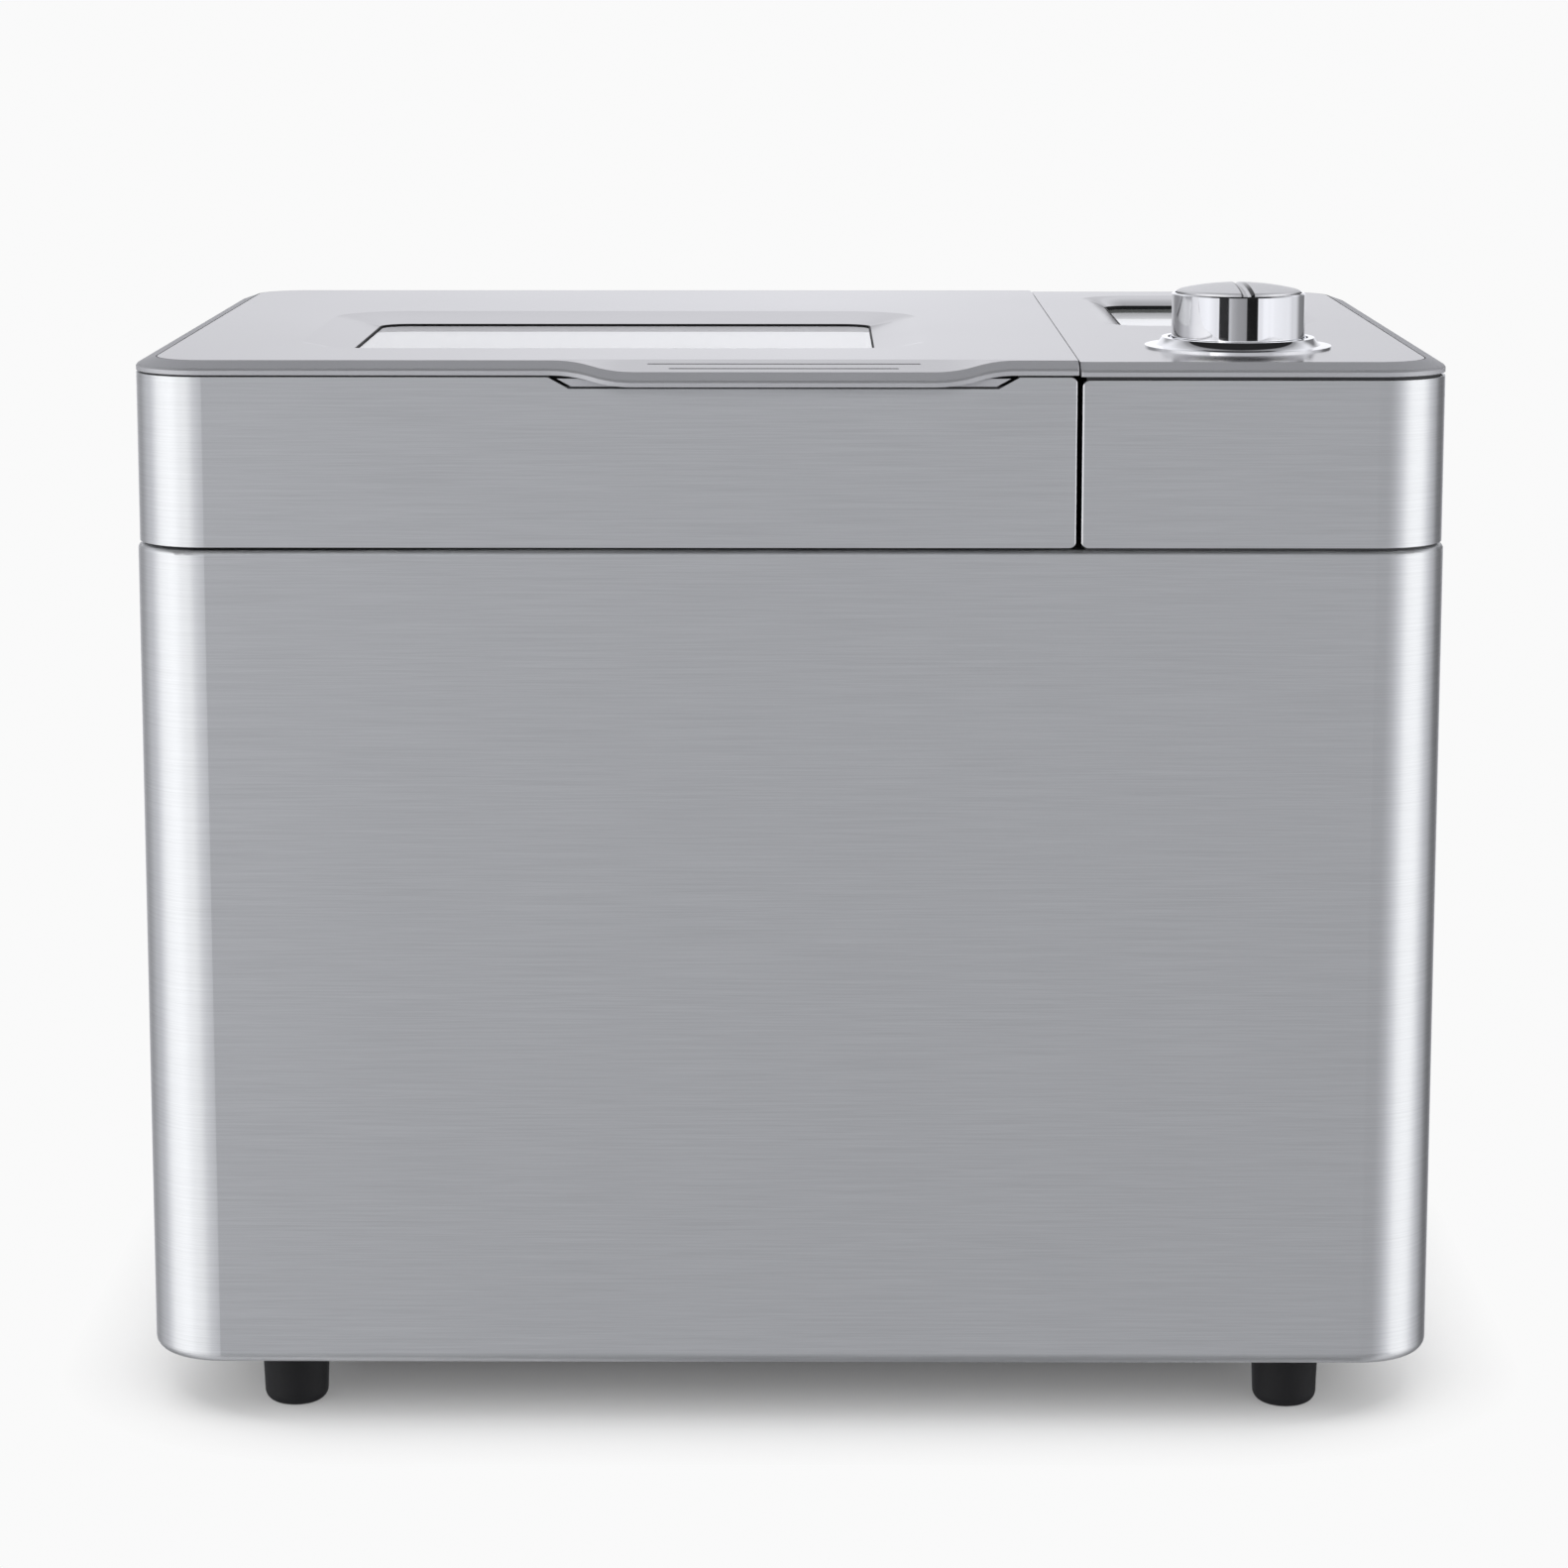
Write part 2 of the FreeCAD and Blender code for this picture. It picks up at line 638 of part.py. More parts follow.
def temperature_sensor():
    """Probe through the chamber's right wall."""
    height = Z_PAN_RIM - SENSOR_DROP
    y = CHAMBER_Y + SENSOR_OFFSET
    probe = bar(SHAFT_RADIUS, CHAMBER.right - SENSOR_REACH, CHAMBER.right + SENSOR_REACH - 1, y, height)
    collar = bar(SHAFT_RADIUS + SENSOR_COLLAR, CHAMBER.right, CHAMBER.right + SENSOR_COLLAR, y, height)
    return joined([probe, collar])


def heat_shield():
    """Folded sheet between the oven and the motor, notched for the belt and the heater ends."""
    front = CHAMBER.front - SHIELD_GAP
    rear = CHAMBER.rear + SHIELD_GAP
    fold = SHIELD_X + SHIELD_FOLD
    upright = box(SHIELD_X, SHIELD_X + SHIELD, front, rear, Z_BASE_TOP, Z_DECK_LOW)
    foot = box(SHIELD_X, fold, front, rear, Z_BASE_TOP, Z_BASE_TOP + SHIELD)
    head = box(SHIELD_X, fold, front, rear, Z_DECK_LOW - SHIELD, Z_DECK_LOW)
    reach = DRIVEN_PULLEY_RADIUS + SHIELD_FOLD
    belt = box(SHIELD_X - 1, fold + 1, CHAMBER_Y - reach, CHAMBER_Y + reach, Z_BASE, Z_HOUSING + SHIELD_GAP)
    return joined([upright, foot, head]).cut(belt)


def pan_seat():
    """Ring on the chamber floor that receives the pan's collar."""
    wall = PAN_COLLAR_RADIUS + CONTACT
    profile = [
        (wall - SEAT_CATCH, Z_CHAMBER),
        (wall + SEAT_FLANGE, Z_CHAMBER),
        (wall + SEAT_FLANGE, Z_CHAMBER + SEAT_FLANGE_EDGE),
        (wall + SEAT_WALL + 0.5, Z_SEAT - 1),
        (wall + SEAT_WALL, Z_SEAT + SEAT_CATCH),
        (wall, Z_SEAT + SEAT_CATCH),
        (wall, Z_SEAT),
        (wall - SEAT_CATCH, Z_SEAT),
    ]
    return turned(profile, LID_X, CHAMBER_Y)


def pan_base():
    """Cast collar under the pan with a hub for the paddle bush."""
    collar = PAN_COLLAR_RADIUS
    under = Z_PAN - PAN_BASE_PLATE
    profile = [
        (BUSH_RADIUS, under),
        (BUSH_RADIUS, Z_PAN),
        (collar + PAN_COLLAR_FLANGE, Z_PAN),
        (collar + PAN_COLLAR_FLANGE, under + 0.6),
        (collar, under - 0.6),
        (collar, Z_SEAT),
        (collar - PAN_COLLAR_WALL, Z_SEAT),
        (collar - PAN_COLLAR_WALL, under),
    ]
    return turned(profile, LID_X, CHAMBER_Y)


def bread_pan():
    """Drawn baking pan with a flanged rim and a bush hole."""
    foot = PAN.inset(PAN_DRAFT)
    outside = frustum(foot, Z_PAN, PAN, Z_PAN_RIM)
    outside = outside.makeFillet(PAN_FLOOR_ROUND, edges_at(outside, Z_PAN))
    inside = frustum(foot.inset(PAN_WALL), Z_PAN + PAN_WALL, PAN.inset(PAN_WALL), Z_PAN_RIM)
    inside = inside.makeFillet(PAN_FLOOR_ROUND - PAN_WALL, edges_at(inside, Z_PAN + PAN_WALL))
    rim = PAN.inset(-PAN_RIM).prism(Z_PAN_RIM - PAN_RIM_HEIGHT, Z_PAN_RIM)
    rim = rim.makeFillet(PAN_RIM_HEIGHT / 2 - 0.1, edges_at(rim, Z_PAN_RIM))
    mouth = PAN.inset(PAN_WALL).prism(Z_PAN_RIM - PAN_RIM_HEIGHT - 1, Z_PAN_RIM + 1)
    rim = rim.cut(mouth)
    hole = post(BUSH_RADIUS, LID_X, CHAMBER_Y, Z_PAN - 1, Z_PAN + PAN_WALL + 1)
    return joined([outside.cut(inside), rim]).cut(hole)


def pan_bush():
    """Bronze bush through the pan floor."""
    low = Z_PAN - PAN_BASE_PLATE
    return sleeve(BUSH_RADIUS, AXLE_RADIUS + RUNNING, LID_X, CHAMBER_Y, low, Z_PAN + PAN_WALL + BUSH_PROUD)


def pan_ears():
    """Two bent brackets on the pan's ends that carry the bail handle."""
    low = Z_PAN_RIM - EAR_TAIL
    web = Z_PAN_RIM - PAN_RIM_HEIGHT - EAR_STEP
    wall = PAN_WIDTH / 2 - PAN_DRAFT * (Z_PAN_RIM - web - EAR_SHEET) / PAN_HEIGHT
    out = PAN_WIDTH / 2 + PAN_RIM + CONTACT
    top = Z_PIVOT + WIRE_RADIUS + EAR_EYE
    pieces = []
    for side in (-1, 1):
        outline = [
            (wall, low),
            (wall + EAR_SHEET, low),
            (wall + EAR_SHEET, web),
            (out + EAR_SHEET, web),
            (out + EAR_SHEET, top),
            (out, top),
            (out, web + EAR_SHEET),
            (wall, web + EAR_SHEET),
        ]
        corners = [(LID_X + side * x, CHAMBER_Y - EAR_WIDE / 2, z) for x, z in outline]
        ear = sheet(corners, Vector(0, EAR_WIDE, 0))
        hole = bar(WIRE_RADIUS + RUNNING, LID_X + side * out - 4, LID_X + side * out + 4, CHAMBER_Y, Z_PIVOT)
        pieces.append(ear.cut(hole))
    return group(pieces)


def pan_handle():
    """Wire bail folded down over the pan's front rim."""
    inner = PAN_WIDTH / 2 + PAN_RIM - 1
    arm = PAN_WIDTH / 2 + PAN_RIM + EAR_SHEET + HANDLE_OUT
    front = CHAMBER_Y - HANDLE_REACH
    run = [
        (LID_X - inner, CHAMBER_Y),
        (LID_X - arm, CHAMBER_Y),
        (LID_X - arm, front),
        (LID_X + arm, front),
        (LID_X + arm, CHAMBER_Y),
        (LID_X + inner, CHAMBER_Y),
    ]
    return tube_along(rounded_path([Vector(x, y, Z_PIVOT) for x, y in run], HANDLE_BEND), WIRE_RADIUS)


def flatted(radius, low, high, flat_from):
    """Upright shaft on the drive axis with a flat on its upper part."""
    shaft = post(radius, LID_X, CHAMBER_Y, low, high)
    flat = box(LID_X + radius * 0.7, LID_X + radius + 1, CHAMBER_Y - radius - 1, CHAMBER_Y + radius + 1, flat_from, high)
    return shaft.cut(flat)


def paddle_shaft():
    """Shaft that carries the paddle, flatted above the bush."""
    return flatted(AXLE_RADIUS, Z_DOG_TOP + CONTACT, Z_PAN + PADDLE_HEIGHT, Z_PAN + PAN_WALL + BUSH_PROUD)


def kneading_paddle():
    """Hub and one swept fin."""
    low = Z_PAN + PAN_WALL + BUSH_PROUD + CONTACT
    high = Z_PAN + PADDLE_HEIGHT + 3
    hub = Part.makeCone(PADDLE_HUB_RADIUS, PADDLE_HUB_RADIUS - 2, high - low, Vector(LID_X, CHAMBER_Y, low))
    tip = LID_X + PADDLE_LENGTH
    half = PADDLE_BLADE / 2
    heel = Vector(LID_X, CHAMBER_Y - half, low)
    toe = Vector(tip, CHAMBER_Y - half, low)
    crown = Vector(LID_X, CHAMBER_Y - half, high - 3)
    curve = Part.Arc(
        toe, Vector(LID_X + PADDLE_LENGTH * 0.82, CHAMBER_Y - half, low + PADDLE_HEIGHT * 0.66), crown
    ).toShape()
    face = Part.Face(Part.Wire([Part.makeLine(heel, toe), curve, Part.makeLine(crown, heel)]))
    fin = face.extrude(Vector(0, PADDLE_BLADE, 0))
    bore = flatted(AXLE_RADIUS + RUNNING, low - 1, Z_PAN + PADDLE_HEIGHT + CONTACT, low - 1)
    return joined([hub, fin]).cut(bore)


def dog(level, face_up, turn):
    """Disc with two lugs that mesh with its twin."""
    disc_low = level if face_up else level + DOG_LUG
    lug_low = level + DOG_PLATE if face_up else level
    ring = sleeve(DOG_RADIUS, DOG_RADIUS - 7, LID_X, CHAMBER_Y, lug_low, lug_low + DOG_LUG)
    pieces = [sleeve(DOG_RADIUS, AXLE_RADIUS, LID_X, CHAMBER_Y, disc_low, disc_low + DOG_PLATE)]
    for side in (0, 180):
        wedge = Part.makeCylinder(
            DOG_RADIUS + 1, DOG_LUG, Vector(LID_X, CHAMBER_Y, lug_low), Vector(0, 0, 1), DOG_LUG_SPAN
        )
        wedge.rotate(Vector(LID_X, CHAMBER_Y, 0), Vector(0, 0, 1), turn + side - DOG_LUG_SPAN / 2)
        pieces.append(ring.common(wedge))
    return joined(pieces)


def drive_coupling():
    """Lower half of the dog clutch on the drive shaft."""
    return dog(Z_DOG, True, 0)


def pan_coupling():
    """Upper half of the dog clutch under the pan."""
    return dog(Z_DOG + DOG_PLATE + CONTACT, False, 90)


def drive_shaft():
    """Steel axle from the driven pulley up to the clutch."""
    return post(AXLE_RADIUS, LID_X, CHAMBER_Y, Z_PULLEY - 1, Z_DOG + DOG_PLATE)


def bearing_housing():
    """Flanged housing under the chamber floor."""
    body = post(BUSH_RADIUS + HOUSING_WALL, LID_X, CHAMBER_Y, Z_HOUSING, CHAMBER_FLOOR)
    low = CHAMBER_FLOOR - HOUSING_FLANGE_EDGE
    flange = post(BUSH_RADIUS + HOUSING_FLANGE, LID_X, CHAMBER_Y, low, CHAMBER_FLOOR)
    return joined([body, flange]).cut(post(BUSH_RADIUS, LID_X, CHAMBER_Y, Z_HOUSING - 1, CHAMBER_FLOOR + 1))


def drive_bushes():
    """Two plain bushes in the housing."""
    inner = AXLE_RADIUS + RUNNING
    lower = sleeve(BUSH_RADIUS, inner, LID_X, CHAMBER_Y, Z_HOUSING, Z_HOUSING + BUSH_LENGTH)
    upper = sleeve(BUSH_RADIUS, inner, LID_X, CHAMBER_Y, CHAMBER_FLOOR - BUSH_LENGTH, CHAMBER_FLOOR)
    return group([lower, upper])


def rib_points(radius, low):
    """Zigzag of the belt ribs from bottom to top, as (radius, height)."""
    points = []
    for rib in range(BELT_RIBS):
        start = low + rib * RIB_PITCH
        points.append((radius, start))
        points.append((radius - RIB_DEPTH, start + RIB_PITCH / 2))
    points.append((radius, low + BELT_RIBS * RIB_PITCH))
    return points


def ribbed_wheel(radius, bore, x):
    """Grooved pulley of full thickness."""
    low = Z_PULLEY + 1.0
    grooves = rib_points(radius, low)
    profile = [(bore, Z_PULLEY), (radius, Z_PULLEY)] + grooves + [(radius, Z_PULLEY_TOP), (bore, Z_PULLEY_TOP)]
    return turned(profile, x, CHAMBER_Y)


def driven_pulley():
    """Large pulley with a thin web and round lightening holes."""
    wheel = ribbed_wheel(DRIVEN_PULLEY_RADIUS, AXLE_RADIUS, LID_X)
    rim = DRIVEN_PULLEY_RADIUS - RIB_DEPTH - 3
    middle = (Z_PULLEY + Z_PULLEY_TOP) / 2
    cuts = [
        sleeve(rim, BUSH_RADIUS + 4, LID_X, CHAMBER_Y, middle + 1.5, Z_PULLEY_TOP + 1),
        sleeve(rim, BUSH_RADIUS + 4, LID_X, CHAMBER_Y, Z_PULLEY - 1, middle - 1.5),
    ]
    centre = (rim + BUSH_RADIUS + 4) / 2
    for step in range(5):
        angle = math.radians(72 * step)
        x = LID_X + centre * math.cos(angle)
        y = CHAMBER_Y + centre * math.sin(angle)
        cuts.append(post(centre / 3, x, y, Z_PULLEY - 1, Z_PULLEY_TOP + 1))
    return wheel.cut(cuts)


def motor_pulley():
    """Small pulley on the rotor shaft."""
    return ribbed_wheel(MOTOR_PULLEY_RADIUS, AXLE_RADIUS + RUNNING, MOTOR_X)


def belt_section(radius):
    """Belt profile on one pulley, as (radius, height), a clearance outside the grooves."""
    low = Z_PULLEY + 1.0
    inner = radius + BELT_CLEARANCE
    back = inner + BELT_BACK
    return rib_points(inner, low) + [(back, low + BELT_WIDTH), (back, low)]


def drive_belt():
    """Ribbed belt around both pulleys."""
    span = MOTOR_X - LID_X
    lean = math.degrees(math.asin((DRIVEN_PULLEY_RADIUS - MOTOR_PULLEY_RADIUS) / span))
    pieces = []
    ends = (
        (LID_X, DRIVEN_PULLEY_RADIUS, 90 - lean, 180 + 2 * lean),
        (MOTOR_X, MOTOR_PULLEY_RADIUS, 270 + lean, 180 - 2 * lean),
    )
    for x, radius, start, sweep in ends:
        corners = [Vector(x + out, CHAMBER_Y, height) for out, height in belt_section(radius)]
        face = Part.Face(Part.makePolygon(corners + corners[:1]))
        axis = Vector(x, CHAMBER_Y, 0)
        face.rotate(axis, Vector(0, 0, 1), start)
        pieces.append(face.revolve(axis, Vector(0, 0, 1), sweep))
        if radius == DRIVEN_PULLEY_RADIUS:
            length = span * math.cos(math.radians(lean))
            upper = face.copy()
            lower = face.copy()
            lower.rotate(axis, Vector(0, 0, 1), sweep)
            run = Vector(length * math.cos(math.radians(lean)), -length * math.sin(math.radians(lean)), 0)
            pieces.append(upper.extrude(run))
            pieces.append(lower.extrude(Vector(run.x, -run.y, 0)))
    return joined(pieces)


def motor_stator():
    """Laminated stack with a round bore."""
    block = plan_about(MOTOR_X, CHAMBER_Y, MOTOR_WIDTH, MOTOR_WIDTH, 8).prism(Z_STACK, Z_STACK_TOP)
    return block.cut(post(ROTOR_RADIUS + CONTACT, MOTOR_X, CHAMBER_Y, Z_STACK - 1, Z_STACK_TOP + 1))


def motor_coils():
    """Winding heads above and below the stack."""
    pieces = []
    for low in (Z_STACK - 8, Z_STACK_TOP):
        ring = sleeve(ROTOR_RADIUS + 11, ROTOR_RADIUS + 3, MOTOR_X, CHAMBER_Y, low, low + 8)
        pieces.append(ring.makeFillet(2.5, edges_at(ring, low) + edges_at(ring, low + 8)))
    return group(pieces)


def bell(flat, rim):
    """Pressed end bell between its flat and its rim, bored for the rotor shaft."""
    low, high = min(flat, rim), max(flat, rim)
    outline = plan_about(MOTOR_X, CHAMBER_Y, MOTOR_WIDTH - 6, MOTOR_WIDTH - 6, 14)
    floor = flat + 2 if flat < rim else flat - 2
    shell = outline.prism(low, high).cut(outline.inset(2).prism(min(floor, rim), max(floor, rim)))
    boss = post(BUSH_RADIUS + 2, MOTOR_X, CHAMBER_Y, min(flat, floor + 4, floor - 4), max(flat, floor + 4, floor - 4))
    boss = boss.common(box(MOTOR_X - 20, MOTOR_X + 20, CHAMBER_Y - 20, CHAMBER_Y + 20, low, high))
    return joined([shell, boss]).cut(post(AXLE_RADIUS + RUNNING, MOTOR_X, CHAMBER_Y, low - 1, high + 1))


def motor_bells():
    """Lower and upper end bells."""
    return group([bell(Z_MOTOR, Z_STACK), bell(Z_MOTOR_TOP, Z_STACK_TOP)])


def motor_rotor():
    """Cage rotor with its shaft."""
    core = post(ROTOR_RADIUS, MOTOR_X, CHAMBER_Y, Z_STACK - 1, Z_STACK_TOP + 1)
    shaft = post(AXLE_RADIUS, MOTOR_X, CHAMBER_Y, Z_PULLEY - 1, Z_MOTOR_TOP + 4)
    return joined([core, shaft])


def motor_bracket():
    """Steel plate that carries the motor on its rubber mounts."""
    plate = plan_about(MOTOR_X, CHAMBER_Y, 2 * MOUNT_OFFSET + 20, 2 * MOUNT_OFFSET + 20, 8).prism(Z_BRACKET, Z_MOTOR)
    return plate.cut(post(AXLE_RADIUS + 4, MOTOR_X, CHAMBER_Y, Z_BRACKET - 1, Z_MOTOR + 1))


def motor_grommets():
    """Four rubber mounts under the bracket."""
    return group(
        [post(GROMMET_RADIUS, x, y, Z_BRACKET - GROMMET_HEIGHT, Z_BRACKET) for x, y in MOUNT_SPOTS]
    )


def power_board():
    """Circuit board on the base standoffs."""
    low = Z_BASE_TOP + STANDOFF_HEIGHT
    return POWER.prism(low, low + BOARD)


def power_components():
    """Transformer, relay, capacitors and heat sink on the power board."""
    low = Z_BASE_TOP + STANDOFF_HEIGHT + BOARD
    y = (POWER.front + POWER.rear) / 2
    pieces = [
        box(POWER.left + 4, POWER.left + 32, y - 13, y + 13, low, low + 24),
        box(POWER.left + 37, POWER.left + 55, y + 2, y + 17, low, low + 16),
    ]
    for step in range(2):
        pieces.append(post(5, POWER.left + 42 + 12 * step, y - 10, low, low + 18))
    return group(pieces)


def hinge_brackets():
    """Two ears that rise through the deck to the hinge axis."""
    pieces = []
    for x in HINGE_XS:
        half = EAR_WIDTH / 2
        plate = box(x - half - 8, x + half + 8, HINGE_Y - 18, HINGE_Y + EAR_HALF_DEPTH, Z_DECK_LOW - 3, Z_DECK_LOW)
        stem = box(x - half, x + half, HINGE_Y - EAR_HALF_DEPTH, HINGE_Y + EAR_HALF_DEPTH, Z_DECK_LOW, HINGE_Z)
        crown = bar(EAR_HALF_DEPTH, x - half, x + half, HINGE_Y, HINGE_Z)
        bore = bar(PIN_RADIUS + RUNNING, x - half - 1, x + half + 1, HINGE_Y, HINGE_Z)
        pieces.append(joined([plate, stem, crown]).cut(bore))
    return group(pieces)


def hinge_pins():
    """Steel pins held in the lid frame."""
    reach = EAR_WIDTH / 2 + 2 * FIT + PIN_GRIP
    return group([bar(PIN_RADIUS, x - reach, x + reach, HINGE_Y, HINGE_Z) for x in HINGE_XS])


def hinge_notches():
    """Room in the lid for each ear over the lid's whole swing."""
    half = EAR_WIDTH / 2 + 2 * FIT
    reach = EAR_HALF_DEPTH + 2.0
    return [
        box(x - half, x + half, HINGE_Y - reach, UPPER_REAR + 1, Z_BAND - 5, HINGE_Z + reach) for x in HINGE_XS
    ]


def lid_block(inset, low, high):
    """Lid outline pulled in, with its lower rear edge rolled about the hinge axis."""
    plan = LID.inset(inset, inset + BAND_SPLIT)
    corner = box(plan.left - 1, plan.right + 1, HINGE_Y, plan.rear + 1, low - 1, HINGE_Z)
    roll = bar(HINGE_R - inset, plan.left - 2, plan.right + 2, HINGE_Y, HINGE_Z)
    return plan.prism(low, high).cut(corner.cut(roll))


def band_outline(plan, top):
    """Front view of a band with its corners rounded beside the split."""
    by_lid = plan.split == "right"
    corners = [0.2, SPLIT_EDGE, SPLIT_EDGE, 0.2] if by_lid else [SPLIT_EDGE, 0.2, 0.2, SPLIT_EDGE]
    left = plan.left + (-5 if by_lid else BAND_SPLIT)
    right = plan.right + (-BAND_SPLIT if by_lid else 5)
    view = Plan(left, right, Z_BAND, top, corners)
    return seen_from_front(view, plan.front - 1, plan.rear + 1)


def split_window(plan):
    """Cut that leaves only short returns of a band along the split."""
    left, right = (plan.right - 5, plan.right + 1) if plan.split == "right" else (plan.left - 1, plan.left + 5)
    return box(left, right, plan.front + BAND_RETURN, plan.rear - BAND_RETURN, Z_BAND - 1, Z_BAND_TOP + 1)


def notch_outline(gap, high, front, rear):
    """Trapezoid under the lip, seen from the front, up to a height and with a gap all round."""
    flare = (NOTCH_TOP - NOTCH_FLOOR) / 2 / (Z_BAND_TOP - Z_NOTCH)
    bottom = NOTCH_FLOOR / 2 - gap
    floor = Z_NOTCH + gap
    top = bottom + flare * (high - floor)
    corners = [
        (LIP_X - top, front, high),
        (LIP_X - bottom, front, floor),
        (LIP_X + bottom, front, floor),
        (LIP_X + top, front, high),
    ]
    return sheet(corners, Vector(0, rear - front, 0))


def lid_band():
    """Stainless band around the lid."""
    band = lid_block(0, Z_BAND, Z_BAND_TOP).cut(lid_block(BAND_WALL, Z_BAND - 1, Z_BAND_TOP + 1))
    band = band.common(band_outline(LID, Z_BAND_TOP))
    steam = [
        slot(2.4, 16, UPPER_REAR - 3, UPPER_REAR + 1, LID_X + 6.0 * step, Z_BAND_TOP - 14) for step in range(-5, 6)
    ]
    notch = notch_outline(0, Z_BAND_TOP + 0.5, UPPER_FRONT - 1, UPPER_FRONT + BAND_WALL + 0.1)
    return band.cut([split_window(LID), notch] + hinge_notches() + steam)


def control_band():
    """Stainless band around the control housing."""
    outline = CONTROL.inset(0, BAND_SPLIT)
    ring = outline.prism(Z_BAND, Z_PANEL_BAND).cut(outline.inset(BAND_WALL).prism(Z_BAND - 1, Z_BAND_TOP))
    return ring.common(band_outline(CONTROL, Z_PANEL_BAND)).cut(split_window(CONTROL))


def rim_ring(plan, base):
    """Trim around a top: upright face, chamfer, and a pocket that lets the plate reach the split."""
    low, middle = soft_edge(base)
    top = base + RIM_FACE + RIM_CHAMFER_H
    softened = plan.inset(RIM_SOFT, 0)
    face = plan.prism(base, low)
    edge = frustum(plan, low, softened, middle)
    chamfer = frustum(softened, middle, plan.inset(RIM_CHAMFER_W, 0), top)
    well = plan.inset(RIM_CHAMFER_W, RIM_SPLIT_WALL).prism(base - 1, top + 1)
    pocket = plan.inset(RIM_CHAMFER_W, -1).prism(top - PLATE, top + 1)
    return joined([face, edge, chamfer]).cut([well, pocket])


def soft_edge(base):
    """Heights between which the edge of a rim standing on a base level is broken."""
    bend = base + RIM_FACE
    return bend - RIM_SOFT, bend + RIM_SOFT * RIM_CHAMFER_H / RIM_CHAMFER_W


def lip_shift():
    """Way from the plain front edge out to the lip."""
    return Vector(0, -LIP_REACH - UPPER_INSET, -LIP_DROP)


def lip_path(setback, level):
    """Edges of the S-curves and straight run of the lip, from left to right."""
    shift = lip_shift()
    rise = shift.Length
    radius = (LIP_BLEND ** 2 + rise ** 2) / (4 * rise)
    half = math.asin(LIP_BLEND / (2 * radius)) / 2
    along = radius * math.sin(half)
    out = (radius - radius * math.cos(half)) / rise
    start = LIP_X - LIP_FLAT / 2 - LIP_BLEND
    spots = [(0, 0), (along, out), (LIP_BLEND / 2, 0.5), (LIP_BLEND - along, 1 - out), (LIP_BLEND, 1)]
    base = Vector(start, UPPER_FRONT + setback, level)
    left = [base + Vector(u, 0, 0) + shift * s for u, s in spots]
    right = [Vector(2 * LIP_X - p.x, p.y, p.z) for p in reversed(left)]
    return [
        Part.Arc(*left[0:3]).toShape(),
        Part.Arc(*left[2:5]).toShape(),
        Part.makeLine(left[4], right[0]),
        Part.Arc(*right[0:3]).toShape(),
        Part.Arc(*right[2:5]).toShape(),
    ]


def lid_rim():
    """Lid trim whose front swells into the finger lip."""
    end = LIP_FLAT / 2 + LIP_BLEND
    gap = box(
        LIP_X - end, LIP_X + end, UPPER_FRONT - 1, UPPER_FRONT + RIM_CHAMFER_W + 0.5, Z_RIM - 1, Z_TOP + 1
    )
    path = Part.Wire(lip_path(0, Z_RIM))
    x = LIP_X - end
    back = UPPER_FRONT + RIM_CHAMFER_W
    low, middle = soft_edge(Z_RIM)
    section = Part.makePolygon(
        [
            Vector(x, UPPER_FRONT, Z_RIM),
            Vector(x, UPPER_FRONT, low),
            Vector(x, UPPER_FRONT + RIM_SOFT, middle),
            Vector(x, back, Z_TOP),
            Vector(x, back, Z_RIM),
            Vector(x, UPPER_FRONT, Z_RIM),
        ]
    )
    sweep = Part.BRepOffsetAPI.MakePipeShell(path)
    sweep.setTrihedronMode(Vector(0, 0, 0), Vector(1, 0, 0))
    sweep.add(section, False, False)
    sweep.build()
    sweep.makeSolid()
    return joined([rim_ring(LID, Z_RIM).cut(gap), sweep.shape()])


def control_rim():
    """Trim around the control top."""
    return rim_ring(CONTROL, Z_PANEL_RIM)


def dished(plan, high, slope, drop, lip, bow):
    """Block around a recess and the recess itself: a bowed slope down to an upright opening."""
    floor = high - drop
    block = plan.inset(-slope - DISH_FLANGE).prism(floor - lip, high)
    levels = []
    for step in range(DISH_STEPS + 1):
        share = step / DISH_STEPS
        level = floor + (drop + DISH_RUNOUT) * (1 - (1 - share) ** bow)
        levels.append(plan.inset(-slope * share).wire(level))
    opening = plan.prism(floor - lip - 1, floor)
    return block, [Part.makeLoft(levels, True), opening]


def pane_lip(plan, low, height):
    """Dark rubber lip around the edge of a pane, inside its opening."""
    outer = plan.inset(RUNNING)
    return outer.prism(low, low + height).cut(outer.inset(GASKET_LIP).prism(low - 1, low + height + 1))


